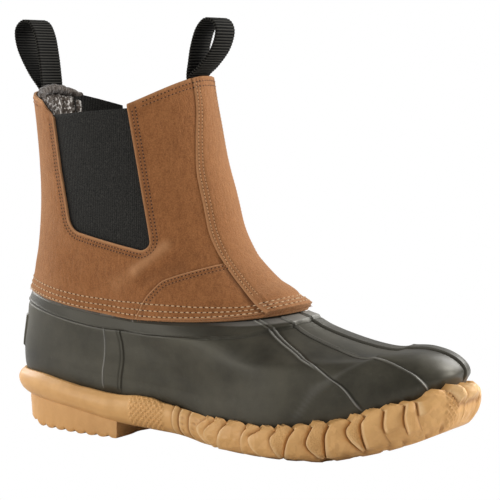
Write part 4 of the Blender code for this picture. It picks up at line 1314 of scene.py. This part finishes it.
def stitch_parts(path, normals, seam, parts, holes):
    """Threads, and dark needle holes standing for the shade inside each hole, along a path on a surface."""
    along = unit(np.gradient(path, axis=0))
    turns = np.linspace(0.0, 2.0 * math.pi, THREAD_SIDES, endpoint=False)[:, None]
    half = seam.width / 2.0
    foot = list(range(THREAD_SIDES))
    thread_end = [len(THREAD_PLACES) * THREAD_SIDES - 1 - side for side in foot]
    hole_top = [THREAD_SIDES + side for side in foot]
    thread_faces = grid_faces(len(THREAD_PLACES), THREAD_SIDES, wrap_columns=True) + [foot, thread_end]
    hole_faces = grid_faces(2, THREAD_SIDES, wrap_columns=True) + [hole_top, foot[::-1]]
    for place, way, out in zip(path, along, unit(normals)):
        ring = np.cos(turns) * np.cross(out, way) + 0.8 * np.sin(turns) * out
        steps = np.outer(THREAD_PLACES * seam.length / 2.0, way)
        spine = place + steps + np.outer(THREAD_HEIGHTS * half, out)
        points = spine[:, None] + THREAD_GIRTHS[:, None, None] * ring * half
        parts.append((points.reshape(-1, 3), thread_faces))
    for place, way, out in zip((path[:-1] + path[1:]) / 2.0, along, unit(normals)):
        ring = seam.hole * (0.62 * np.cos(turns) * way + 0.5 * np.sin(turns) * np.cross(out, way))
        low = place + ring - out * 0.25
        high = place + 0.75 * ring + out * 0.05
        holes.append((np.concatenate([low, high]), hole_faces))


def top_offset(level, angle):
    """Outer face of the uppermost suede layer."""
    turn = turn_from_front(angle)
    strip = turn < strip_angle(np.minimum(level, COLLAR - 0.02))
    panel = (level < curve_at(PANEL_TOP, turn)) & (turn < PANEL_END)
    raised = OVERLAY_OUT + np.where(strip, strip_rise(level), 0.0)
    return np.where(strip | panel, raised, SUEDE_OUT) + crease_sum(last_points(level, angle), "height")


def sew(seam, level, angle, parts, holes):
    """Even stitches along a row given by level and angle."""
    lengths = lengths_along(last_points(level, angle))
    wanted = np.arange(seam.pitch / 2, lengths[-1], seam.pitch)
    level = np.interp(wanted, lengths, level)
    angle = np.interp(wanted, lengths, angle)
    path = skin(level, angle, top_offset(level, angle) + seam.lift)
    stitch_parts(path, last_normals(level, angle), seam, parts, holes)


def sew_notch(side, margin, parts, holes):
    """Row of stitches round a notch."""
    path = notch_path(side, margin)
    level, angle = side_view(path[:, 0], path[:, 1], side)
    keep = below_collar(path, level, 0.12, 196.0)
    sew(NOTCH_SEAM, level[keep], angle[keep], parts, holes)


def sew_strip(side, row, parts, holes):
    """Row of stitches along one edge of the front strip."""
    level = np.linspace(7.75, COLLAR - 0.15, 300)
    edge = strip_angle(level)
    width = curve_at(STRIP_EDGE, last_points(level, edge)[:, 2])
    sew(STRIP_SEAM, level, -side * edge * (1.0 - row / width), parts, holes)


def sew_panel(side, row, parts, holes):
    """Row of stitches inside a side panel's upper edge."""
    angle = np.linspace(24.0, 86.0, 300)
    top = curve_at(PANEL_TOP, angle)
    edge = last_points(top, -side * angle)
    inward = unit(np.cross(np.gradient(edge, axis=0), last_normals(top, -side * angle))) * side
    level, around = find_surface((edge + inward * row)[:, [0, 2]], top - 0.2, -side * angle)
    keep = level > 7.9
    sew(PANEL_SEAM, level[keep], around[keep], parts, holes)


def make_stitches(pale_thread, tan_thread, brown_thread, hole):
    """All rows of stitches: pale along the lower edge, tan on the strip and brown elsewhere."""
    pale = []
    tan = []
    brown = []
    holes = []
    angle = np.linspace(0.5, 360.5, 900)
    turn = turn_from_front(angle)
    for share in (0.0, 0.5, 1.0):
        level = curve_at(LOW_ROW, turn) * (1 - share) + curve_at(TOP_ROW, turn) * share
        sew(LOW_SEAM, level, angle, pale, holes)
    for side in (OUTER, INNER):
        for row in STITCH_ROWS:
            sew_notch(side, row, brown, holes)
        for row in STRIP_ROWS:
            sew_strip(side, row, tan, holes)
        for row in PANEL_ROWS:
            sew_panel(side, row, brown, holes)
    rear, front = side_view(np.array([34.0, 111.0]), np.array([205.0, 203.0]), OUTER)[1]
    for drop in COLLAR_DROPS:
        for start, end in ((-front, front), (rear, 360.0 - rear)):
            sew(COLLAR_SEAM, np.full(300, COLLAR - drop), np.linspace(start, end, 300), brown, holes)
    new_piece("pale_stitches", *joined(pale), pale_thread, "suede")
    new_piece("tan_stitches", *joined(tan), tan_thread, "suede")
    new_piece("brown_stitches", *joined(brown), brown_thread, "suede")
    # Dark needle holes: painted shade for the inside of each hole.
    new_piece("needle_hole_shades", *joined(holes), hole, "suede")


# Sole. A reach is a distance along the sole's outline from the toe. On the sole's side, the height of a
# row, lobe or dot is a share of the wall.

LOBES = (
    Lobe("rib", 206.0, 206.0, 0.5, 205.0, 0.0, 0.8, 1.1, 0.0),
    Lobe("dotted tile", 201.5, 201.5, 0.5, 200.5, 0.0, 0.4, 0.5, 0.1),
    Lobe("dotted tile", 194.5, 194.5, 0.5, 193.0, 0.0, 0.6, 0.7, 0.1),
    Lobe("hook", 181.5, 186.8, 0.62, 178.0, 0.0, 1.7, 2.8, 0.0),
    Lobe("wedge", 175.5, 180.6, 0.55, 172.4, 0.0, 1.9, 3.2, 0.6),
    Lobe("link", 165.0, 167.6, 0.80, 172.0, 0.0, 1.6, 3.0, 0.0),
    Lobe("narrow link", 149.0, 149.8, 0.80, 151.0, 0.0, 1.0, 3.2, 0.0),
    Lobe("link", 137.8, 144.6, 0.72, 136.0, 0.0, 0.9, 3.3, 0.1),
    Lobe("wedge", 127.0, 129.6, 0.77, 122.4, 0.0, 1.2, 3.6, 1.0),
    Lobe("link", 115.5, 118.4, 0.75, 122.2, 0.0, 1.0, 3.0, 0.0),
    Lobe("wedge", 104.5, 107.4, 0.62, 96.0, 0.0, 1.8, 3.8, 1.0),
    Lobe("link", 94.6, 96.4, 0.72, 95.8, 0.0, 0.9, 2.8, 0.0),
    Lobe("wedge", 81.0, 84.2, 0.82, 71.6, 0.12, 1.3, 3.8, 1.0),
    Lobe("link", 73.0, 75.6, 0.84, 71.4, 0.12, 1.6, 2.6, 0.0),
    Lobe("plate", 62.0, 62.6, 0.70, 55.0, 0.42, 1.2, 2.4, 0.5),
    Lobe("plate", 49.6, 50.6, 0.72, 45.8, 0.22, 1.2, 2.3, 0.0),
    Lobe("knurled plate", 42.6, 42.0, 0.70, 36.5, 0.60, 2.2, 1.5, 0.0),
    Lobe("bud", 23.0, 18.0, 0.72, 10.5, 0.52, 1.8, 2.8, 0.0),
    Lobe("bud", 10.2, 9.4, 0.60, 6.0, 0.52, 0.6, 2.6, 0.0),
)
LAST_LOBE = len(LOBES) - 1
LOBE_EDGE_COLUMNS = ((0.0, 0.0), (0.3, 0.05), (0.65, 0.10), (1.1, 0.15))
LOWER_TILES = (100.0, 86.5, 74.0, 60.0, 51.0, 37.0, 27.0)
LOWER_TILE_TOP = 0.24
# Dots as (reach, height).
DOTS = (
    (198.6, 0.30), (198.4, 0.52), (198.2, 0.74), (191.0, 0.25), (190.6, 0.45), (190.2, 0.65), (189.6, 0.82),
)
DOT_SIZE = 0.8
DOT_WALL = 21.0
LOBE_START = 206.0
LOBE_SET_BACK = 1.6
LEAST_WIDTH = 0.15
# The side's inset at each height, and how far the rim's edge lies below the CAD's at each x.
SOLE_PROFILE = (
    (0.0, 7.0), (0.05, 5.2), (0.12, 3.6), (0.28, 1.2), (0.5, 0.1), (0.62, 0.0), (0.82, 0.6), (1.0, 3.0),
)
RIM_DROP = (
    (0, 1.6), (22, 2.2), (44, 3.6), (61, 3.6), (74, 2.5), (98, 1.6), (112, 0.2), (120, 0.2), (130, 2.0),
    (140, 1.6), (150, 0.2), (160, 0.6), (175, 1.6), (235, 1.2), (258, 2.4), (276, 2.6), (288, 3.4),
    (294, 5.2), (298, 6.4), (303, 2.4), (318, 1.8),
)
COARSE_STEP = 1.1
FINE_STEP = 0.45
KNURL = (212.0, 238.0)
TOE_KNURL = (14.0, 25.0)
KNURL_PITCH = 3.6
KNURL_HEIGHT = 1.5
BEFORE_KNURL = (207.2, 208.4, 209.6, 210.8)
TREAD_INSET = 12.0
HEEL_FRONT = 93.5
HEEL_INSET = 5.5
HEEL_REAR_INSET = 1.6
HEEL_DRAFT = 1.2
HEEL_TOP = 21.0
HEEL_BEVEL = 5.0
HEEL_BEVEL_LENGTH = 24.0
HEEL_SCALLOP = 9.4
HEEL_WAVE = 1.6
HEEL_SHADE = 0.22
GROOVE_WIDTH = 3.6
GROOVE_DEPTH = 3.6
GROOVE_WAVE = 2.6
GROOVE_WAVE_LENGTH = 36.0
FIRST_GROOVE = 165.0
GROOVE_PITCH = 13.0
LAST_GROOVE_NUMBER = 10
# Footbed's rings as (height over the sole's floor, inset).
FOOTBED = ((0.3, 0.0), (3.6, 0.0), (4.5, 0.4), (4.8, 1.3))
HEEL_DISH = 1.2


def sole_plan(angle, inset):
    """X and Y of the sole's outline moved inward."""
    x, y = plan_points(SOLE_OUTLINE, angle)
    ahead = np.stack(plan_points(SOLE_OUTLINE, angle - 0.4), axis=-1)
    behind = np.stack(plan_points(SOLE_OUTLINE, angle + 0.4), axis=-1)
    along = unit(behind - ahead)
    return x + along[..., 1] * inset, y - along[..., 0] * inset


def reach_table():
    """Fine table of angles along one side of the sole and their reach."""
    angle = np.linspace(0.0, 180.0, 3601)
    return angle, lengths_along(np.stack(plan_points(SOLE_OUTLINE, angle), axis=-1))


def lobe_columns(lobe, after):
    """Places of columns across a lobe: most millimetres from its rear edge, and share of its width."""
    width = lobe.elbow - after
    gap = FINE_STEP if "knurled" in lobe.name else COARSE_STEP
    shares = np.linspace(0.2, 0.975, max(int(0.775 * width / gap), 5))
    return [*LOBE_EDGE_COLUMNS, *((np.inf, share) for share in shares)]


def side_columns():
    """Columns along one side, from the toe to the heel, as (lobe, millimetres, share, plain reach)."""
    columns = [(LAST_LOBE, np.inf, 1.0, 0.0)]
    afters = [lobe.elbow for lobe in LOBES[1:]] + [0.0]
    for index in range(LAST_LOBE, -1, -1):
        for millimetres, share in reversed(lobe_columns(LOBES[index], afters[index])):
            columns.append((index, millimetres, share, 0.0))
    end = reach_table()[1][-1]
    knurled = np.arange(KNURL[0], KNURL[1], FINE_STEP)
    behind = np.linspace(KNURL[1], end, int((end - KNURL[1]) / COARSE_STEP))
    for reach in (*BEFORE_KNURL, *knurled, *behind):
        columns.append((-1, 0.0, 0.0, reach))
    return [np.array(values) for values in zip(*columns)]


def lobe_values(field, index):
    """One column of LOBES at each of the side's columns."""
    return np.array([getattr(lobe, field) for lobe in LOBES])[index]


def lobe_edges(height):
    """Reach of each lobe's rear edge at a height, and the lobe's width there."""
    edges = np.array([
        curve_at(((0.0, lobe.foot), (lobe.elbow_at, lobe.elbow), (1.0, lobe.top)), height) for lobe in LOBES
    ])
    return edges, edges - np.append(edges[1:], 0.0)


def lobe_row(columns, height):
    """Reach, relief and paint of one row of the side at a height.

    Each lobe overlaps the one behind it: its rear edge stands up, and it falls away toward the toe.
    """
    index, millimetres, share, plain = columns
    starts, widths = lobe_edges(height)
    width = np.maximum(widths, LEAST_WIDTH)[index]
    low = lobe_values("low", index)
    shown = np.where(low > 0, smooth((height - low) / 0.1), 1.0)
    into = np.minimum(millimetres, share * width)
    part = into / width
    on_lobe = index >= 0
    reach = np.where(on_lobe, starts[index] - into, plain)
    rise = smooth(into / np.minimum(1.1, 0.15 * width))
    dome = 1.0 - 0.35 * np.square((height - 0.5) / 0.5)
    bud = lobe_values("name", index) == "bud"
    half_turn = np.where(index == LAST_LOBE, 0.5, 1.0) * math.pi
    shape = np.where(bud, np.sin(half_turn * part) ** 0.7, rise * (1.0 - 0.85 * part ** 1.25))
    relief = np.where(bud, 1.6, 1.2) * dome * lobe_values("lift", index) * shape
    relief -= 0.6 * (1.0 - rise) + 0.6 * smooth((part - 0.9) / 0.1) * (reach > 0.5)
    relief = relief * shown
    rough = lobe_values("rough", index) * smooth(into / 0.8) * smooth((1.0 - part) / 0.12) * shown
    # Painted shade where a lobe meets the next, and under the buds.
    painted_shade = np.maximum(smooth((part - 0.84) / 0.16), 1.0 - rise) * 0.8 * shown
    painted_shade = np.maximum(painted_shade, 0.7 * bud * hump(height - low, 0.06))
    # Painted highlight on each lobe's raised rear edge and on the buds.
    ridge_highlight = np.maximum(hump(into - 1.0, 0.6) * smooth(width / 4.0), 0.7 * bud * shape) * shown
    tile_height = smooth((LOWER_TILE_TOP - height) / 0.12)
    for edge in LOWER_TILES:
        past = edge - reach
        facet = smooth(past / 0.8) * np.clip(1.0 - past / 5.5, 0.0, 1.0) * tile_height
        relief = relief - 1.6 * facet
        painted_shade = np.maximum(painted_shade, 0.7 * facet)
    for dot_reach, dot_height in DOTS:
        pit = hump(np.hypot(reach - dot_reach, (height - dot_height) * DOT_WALL), DOT_SIZE)
        relief = relief - 0.8 * pit
        painted_shade = np.maximum(painted_shade, 0.8 * pit)
    chip = on_lobe * smooth((190.0 - reach) / 8.0)
    # The side is painted darker toward the heel.
    painted_shade = np.maximum(painted_shade * on_lobe, 0.14 * smooth((reach - 240.0) / 40.0))
    return reach, relief * on_lobe, rough * on_lobe, painted_shade, ridge_highlight * on_lobe, chip


def knurl(reach, up):
    """Raised diamonds with flat faces and pointed tops."""
    first = np.abs((reach + up) / KNURL_PITCH % 1.0 * 2.0 - 1.0)
    second = np.abs((reach - up) / KNURL_PITCH % 1.0 * 2.0 - 1.0)
    return np.minimum(first, second)


def lobe_tops(columns):
    """Height of the notched upper edge above the rim's line."""
    index, millimetres, share = columns[:3]
    width = lobe_edges(1.0)[1][index]
    part = np.minimum(millimetres / width, share)
    front = np.where(index == LAST_LOBE, 1.0, (1.0 - part) / 0.24)
    gable = np.minimum(np.minimum(part / 0.34, front), 1.0)
    fringe = 0.4 * lobe_values("rough", index) * np.sin(22.0 * part) * gable
    fringe = fringe + 0.18 * np.sin(31.0 * part + 5.0 * index) * gable
    top = lobe_values("peak", index) - lobe_values("lift", index) * 0.95 * (1.0 - gable) + fringe
    return np.where(index >= 0, top, 0.0)


def lobe_feet(reach):
    """Height of the sole's rounded lower edge above its bottom, with a notch between the lobes."""
    notch = sum(hump(reach - lobe.foot, 1.3) for lobe in LOBES if lobe.low == 0.0)
    fade = smooth((reach - 40.0) / 30.0) * smooth((190.0 - reach) / 15.0)
    return (1.5 + 1.3 * np.minimum(notch, 1.0)) * fade


def floor_height(x, y):
    """Height of the floor inside the cup sole."""
    return curve_at(SOLE_FLOOR, x)


def tread_height(x, y):
    """Height of the underside: the sole's curve with wavy channels under the forefoot."""
    wave = GROOVE_WAVE * np.sin(2.0 * math.pi * y / GROOVE_WAVE_LENGTH)
    along = x - wave - FIRST_GROOVE
    nearest = np.clip(np.round(along / GROOVE_PITCH), 0, LAST_GROOVE_NUMBER) * GROOVE_PITCH
    channel = smooth((GROOVE_WIDTH / 2.0 + 0.5 - np.abs(along - nearest)) / 1.0)
    return curve_at(SOLE_BOTTOM, x) + GROOVE_DEPTH * channel


def both_sides(outer, inner):
    """The outer side's columns from toe to heel, then the inner side's back to the toe."""
    return np.concatenate([outer, inner[-2:0:-1]])


def cap_points(ring, across, height):
    """Rows of points across a ring whose columns are mirrored, without its ends."""
    half = len(ring) // 2
    outer = ring[1:half]
    inner = ring[:half:-1]
    share = np.linspace(0.0, 1.0, across + 1)[None, :, None]
    rows = outer[:, None] * (1 - share) + inner[:, None] * share
    within = (share[..., 0] > 0) & (share[..., 0] < 1)
    rows[..., 2] = np.where(within, height(rows[..., 0], rows[..., 1]), rows[..., 2])
    return rows


def capped(rings, low_cap, high_cap):
    """Stack of rings closed by a grid at each end; each cap's rows run across its ring."""
    count = rings.shape[1]
    half = count // 2
    points = [rings.reshape(-1, 3)]
    faces = grid_faces(len(rings), count, wrap_columns=True)
    start = rings.shape[0] * count
    for ring_start, cap in ((0, low_cap), ((len(rings) - 1) * count, high_cap)):
        rows, columns = cap.shape[:2]
        index = np.zeros((rows, columns), int)
        index[:, 1:-1] = start + np.arange(rows * (columns - 2)).reshape(rows, columns - 2)
        index[:, 0] = ring_start + np.arange(1, half)
        index[:, -1] = ring_start + np.arange(count - 1, half, -1)
        points.append(cap[:, 1:-1].reshape(-1, 3))
        start += rows * (columns - 2)
        quads = np.stack([index[:-1, :-1], index[1:, :-1], index[1:, 1:], index[:-1, 1:]], axis=-1)
        faces += quads.reshape(-1, 4).tolist()
        faces.append([ring_start, *index[0].tolist()])
        faces.append([ring_start + half, *index[-1, ::-1].tolist()])
    return np.concatenate(points), faces


def make_outsole(material):
    """Cup sole with a chain-tread side, knurled waist, smooth heel rim and wavy channels underneath."""
    columns = side_columns()
    fine_angle, fine_reach = reach_table()
    tops = lobe_tops(columns)
    rows = []
    paints = {"rough": [], "painted_shade": [], "ridge_highlight": [], "chip": []}
    for height in np.concatenate([[0.0, 0.02, 0.05], np.linspace(0.08, 0.97, 34), [0.985, 1.0]]):
        reach, relief, *row_paints = lobe_row(columns, height)
        one_side = np.interp(reach, fine_reach, fine_angle)
        angle = both_sides(one_side, 360.0 - one_side)
        foot_x = sole_plan(one_side, 0.0)[0]
        drop = curve_at(RIM_DROP, foot_x)
        plain_wall = curve_at(SOLE_RIM_TOP, foot_x) - drop - curve_at(SOLE_BOTTOM, foot_x)
        inner_tops = tops - 4.0 * hump(reach - 20.0, 9.0)
        for start, end in (KNURL, TOE_KNURL):
            patch = smooth((reach - start) / 1.5) * smooth((end - reach) / 1.5)
            relief = relief + KNURL_HEIGHT * patch * knurl(reach, height * plain_wall)
        relief = relief - LOBE_SET_BACK * smooth((LOBE_START - reach) / 20.0)
        relief = relief * smooth((height + 0.02) / 0.12)
        bead = smooth((reach - 246.0) / 8.0)
        relief = relief + bead * (0.9 * hump(height - 0.62, 0.3) - 0.5 * hump(height - 0.02, 0.07))
        inner_relief = relief * (1.0 - smooth((reach - 8.0) / 3.0) * smooth((30.0 - reach) / 4.0))
        x, y = sole_plan(angle, curve_at(SOLE_PROFILE, height) - both_sides(relief, inner_relief))
        wall = both_sides(plain_wall + tops, plain_wall + inner_tops)
        foot = both_sides(lobe_feet(reach), lobe_feet(reach)) * (1.0 - smooth(height / 0.18))
        rows.append(np.stack([x, y, curve_at(SOLE_BOTTOM, x) + wall * height + foot], axis=-1))
        for values, painted in zip(row_paints, paints.values()):
            painted.append(both_sides(values, values))
        if height == 0.0:
            tread_x, tread_y = sole_plan(angle, TREAD_INSET)
    rim_level = RIM + both_sides(tops - drop, inner_tops - drop) / 12.0
    ledge = skin(np.maximum(rim_level, 0.6), angle, 0.15)
    ledge[:, 2] = rows[-1][:, 2] - 0.1
    rows += [rows[-1] * 0.45 + ledge * 0.55, ledge, skin(0.5, angle, 0.6), skin(0.0, angle, 0.6)]
    tread = np.stack([tread_x, tread_y, tread_height(tread_x, tread_y)], axis=-1)
    rings = np.array([tread, *rows])
    cup = capped(rings, cap_points(rings[0], 54, tread_height), cap_points(rings[-1], 8, floor_height))
    heel = make_heel()
    sole = new_piece("gum_outsole", *joined([cup, heel]), material, "gum_rubber", "outsole", 65.0)
    for name, painted in paints.items():
        values = np.zeros(len(sole.data.vertices))
        # The heel block gets painted shade.
        values[-len(heel[0]):] = HEEL_SHADE if name == "painted_shade" else 0.0
        values[len(angle):len(angle) * (1 + len(painted))] = np.concatenate(painted)
        paint(sole, name, values)


def heel_height(x, y):
    """Underside of the heel: rounded bars with narrow channels between, bevelled at the rear."""
    wave = HEEL_WAVE * np.sin(2.0 * math.pi * y / GROOVE_WAVE_LENGTH)
    bars = np.abs(np.sin(math.pi * (x - wave - 1.0) / HEEL_SCALLOP))
    bevel = HEEL_BEVEL * smooth((HEEL_INSET + HEEL_BEVEL_LENGTH - x) / HEEL_BEVEL_LENGTH)
    return 1.9 * (1.0 - bars) ** 1.6 + bevel


def heel_top(x, y):
    """Height of the heel block's flat top, inside the sole."""
    return np.full(x.shape, HEEL_TOP)


def make_heel():
    """Heel block: the sole's rear outline moved inward, with a straight front."""
    rear = np.linspace(96.0, 180.0, 190)
    x, y = sole_plan(rear, HEEL_INSET + HEEL_REAR_INSET * smooth((rear - 150.0) / 30.0))
    keep = x < HEEL_FRONT - 0.6
    x = np.concatenate([np.full(24, HEEL_FRONT), x[keep]])
    y = np.concatenate([np.linspace(0.0, y[keep][0], 24), y[keep]])
    plan = np.stack([both_sides(x, x), both_sides(y, -y)], axis=-1)
    inward = unit(np.array([HEEL_FRONT / 2.0, 0.0]) - plan)
    rings = []
    for share in np.concatenate([[0.0, 0.02, 0.06], np.linspace(0.12, 0.8, 9), [0.87, 0.93, 1.0]]):
        rounding = 0.7 * (1.0 - smooth(share / 0.06)) + 0.9 * smooth((share - 0.8) / 0.2)
        place = plan + inward * (HEEL_DRAFT * (1.0 - share) + rounding)
        low = heel_height(place[:, 0], place[:, 1])
        rings.append(np.stack([place[:, 0], place[:, 1], low + (HEEL_TOP - low) * share], axis=-1))
    rings = np.array(rings)
    return capped(rings, cap_points(rings[0], 40, heel_height), cap_points(rings[-1], 4, heel_top))


def footbed_under(x, y):
    """Height of the footbed's underside."""
    return curve_at(SOLE_FLOOR, x) + FOOTBED[0][0]


def footbed_top(x, y):
    """Height of the footbed's face, dished at the heel."""
    return curve_at(SOLE_FLOOR, x) + FOOTBED[-1][0] - HEEL_DISH * hump(x - 50.0, 35.0) * hump(y, 16.0)


def make_insole(material):
    """Footbed on the sole's floor."""
    angle = np.concatenate([np.linspace(0.0, 180.0, 91), np.linspace(182.0, 358.0, 89)])
    out = last_normals(np.zeros(len(angle)), angle)
    wall = RUBBER_WALL / np.hypot(out[:, 0], out[:, 1]) + 0.5
    flat = unit(out * np.array([1.0, 1.0, 0.0]))
    rings = []
    for height, inset in FOOTBED:
        place = last_points(0.0, angle) - flat * (wall + inset)[:, None]
        place[:, 2] = curve_at(SOLE_FLOOR, place[:, 0]) + height
        rings.append(place)
    rings = np.array(rings)
    bed = capped(rings, cap_points(rings[0], 6, footbed_under), cap_points(rings[-1], 24, footbed_top))
    new_piece("felt_footbed", *bed, material, "footbed", "insole")


# Stage. Lights are placed along the camera's axes; their sizes are metres and their power watts.

CAMERA_AZIMUTH = 30.0
CAMERA_DISTANCE = 1200.0
CAMERA_HEIGHT = 225.0
CAMERA_TARGET = (166.98, 0.0, 117.58)
CAMERA_FOCUS = 1968.0 / 500.0
SENSOR = 36.0
LIGHT_DISTANCE = 1.5
LIGHT_TARGET = (150.0, 0.0, 90.0)
LIGHTS = (
    Light("left low", 0.35, -1.0, 0.12, 0.6, 7.5),
    Light("left back", -0.65, -0.75, 0.42, 0.6, 14.0),
    Light("right high", -0.2, 0.85, 0.75, 0.6, 11.0),
    Light("right back", -0.62, 0.62, 0.55, 0.8, 9.0),
    Light("right low", 0.1, 1.0, 0.3, 0.6, 10.0),
    Light("front left", 0.8, -0.6, 0.5, 0.6, 2.8),
)
FLOOR_HALF = 6
FLOOR_GREY = 0.7
ROOM_STRENGTH = 0.44


def camera_axes():
    """Unit vectors from the target to the camera, to the picture's right, and up."""
    lift = math.asin((CAMERA_HEIGHT - CAMERA_TARGET[2]) / CAMERA_DISTANCE)
    turn = math.radians(CAMERA_AZIMUTH)
    back = Vector((math.sin(turn) * math.cos(lift), -math.cos(turn) * math.cos(lift), math.sin(lift)))
    right = Vector((math.cos(turn), math.sin(turn), 0.0))
    return back, right, Vector((0.0, 0.0, 1.0))


def aim(placed, target, way, offset):
    """Put an object at an offset in metres from a target, looking back against a way."""
    placed.location = (Vector(target) + Vector(SHIFT)) * MM + offset
    placed.rotation_euler = (-way).to_track_quat("-Z", "Y").to_euler()


def make_camera():
    """Camera at the photograph's viewing angle."""
    back = camera_axes()[0]
    camera = new_object("camera", bpy.data.cameras.new("camera"))
    aim(camera, CAMERA_TARGET, back, back * CAMERA_DISTANCE * MM)
    camera.data.sensor_width = SENSOR
    camera.data.lens = CAMERA_FOCUS * SENSOR
    bpy.context.scene.camera = camera


def make_light(light):
    """Soft square light aimed at the boot."""
    back, right, up = camera_axes()
    way = (back * light.back + right * light.right + up * light.up).normalized()
    made = new_object(light.name, bpy.data.lights.new(light.name, "AREA"))
    aim(made, LIGHT_TARGET, way, way * LIGHT_DISTANCE)
    made.data.size = light.size
    made.data.energy = light.power


def seen_white(tree, kind, lit, output):
    """Show plain white to the camera, and light everything else by a shader."""
    white = add_node(tree, kind, Strength=1.0, Color=(*WHITE, 1.0))
    ray = add_node(tree, "LightPath").outputs["Is Camera Ray"]
    both = add_node(tree, "MixShader", i0=ray, i1=lit.outputs[0], i2=white.outputs[0])
    tree.links.new(both.outputs[0], tree.nodes[output].inputs["Surface"])


def make_stage():
    """White floor, white background, soft lights."""
    mesh = bpy.data.meshes.new("floor")
    corners = [(x * FLOOR_HALF, y * FLOOR_HALF, 0) for x, y in ((-1, -1), (1, -1), (1, 1), (-1, 1))]
    mesh.from_pydata(corners, [], [(0, 1, 2, 3)])
    floor = new_object("floor", mesh)
    material, tree, shader = new_material("floor", 0.8, Specular_IOR_Level=0.1)
    shader.inputs["Base Color"].default_value = (FLOOR_GREY, FLOOR_GREY, FLOOR_GREY, 1.0)
    seen_white(tree, "Emission", shader, "Material Output")
    mesh.materials.append(material)
    world = bpy.data.worlds.new("studio")
    world.use_nodes = True
    room = world.node_tree.nodes["Background"]
    room.inputs["Color"].default_value = (*WHITE, 1.0)
    room.inputs["Strength"].default_value = ROOM_STRENGTH
    seen_white(world.node_tree, "Background", room, "World Output")
    bpy.context.scene.world = world
    bpy.context.scene.view_settings.view_transform = "Standard"
    for light in LIGHTS:
        make_light(light)


def main():
    """Build every piece, the camera and the stage."""
    suede = suede_material()
    elastic = elastic_material()
    webbing = webbing_material()
    pale = thread_material("pale_thread", (0.42, 0.27, 0.14), (0.68, 0.49, 0.30))
    tan = thread_material("tan_thread", (0.40, 0.20, 0.085), (0.60, 0.35, 0.17))
    brown = thread_material("brown_thread", (0.25, 0.10, 0.038), (0.42, 0.19, 0.080))
    # Dark needle holes stand for the shade inside each hole.
    hole = thread_material("needle_hole_shade", (0.03, 0.012, 0.005), (0.05, 0.02, 0.009))
    make_outsole(gum_material())
    make_insole(felt_material())
    make_rubber_shell(rubber_material())
    make_shaft(suede)
    make_notch_rolls(suede)
    make_fray(suede)
    make_front_strip(suede)
    make_side_panel("outer_panel_skin", OUTER, suede, "side_panel_lateral")
    make_side_panel("inner_panel_skin", INNER, suede, "side_panel_medial")
    for gore in GORES:
        make_gore(gore, elastic)
    make_lining(knit_material("lining", 0.9, 0.25))
    make_facing(elastic)
    make_roll(knit_material("padding", 0.15, 0.5))
    make_loop("front_loop_webbing", FRONT_LOOP, 0.0, 1.0, webbing, "pull_loop_front")
    make_loop("back_loop_webbing", BACK_LOOP, 180.0, -1.0, webbing, "pull_loop_back")
    make_stitches(pale, tan, brown, hole)
    make_camera()
    make_stage()


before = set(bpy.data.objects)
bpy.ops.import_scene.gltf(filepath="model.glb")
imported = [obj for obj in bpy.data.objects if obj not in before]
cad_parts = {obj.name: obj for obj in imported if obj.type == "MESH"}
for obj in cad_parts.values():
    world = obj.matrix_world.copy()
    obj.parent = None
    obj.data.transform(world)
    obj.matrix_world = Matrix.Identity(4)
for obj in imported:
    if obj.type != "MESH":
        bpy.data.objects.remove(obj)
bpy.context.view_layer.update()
SHIFT = np.array([
    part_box("outsole")[0].x / MM, (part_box("gore_lateral")[0].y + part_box("gore_medial")[1].y) / 2.0 / MM, 0.0,
])
main()
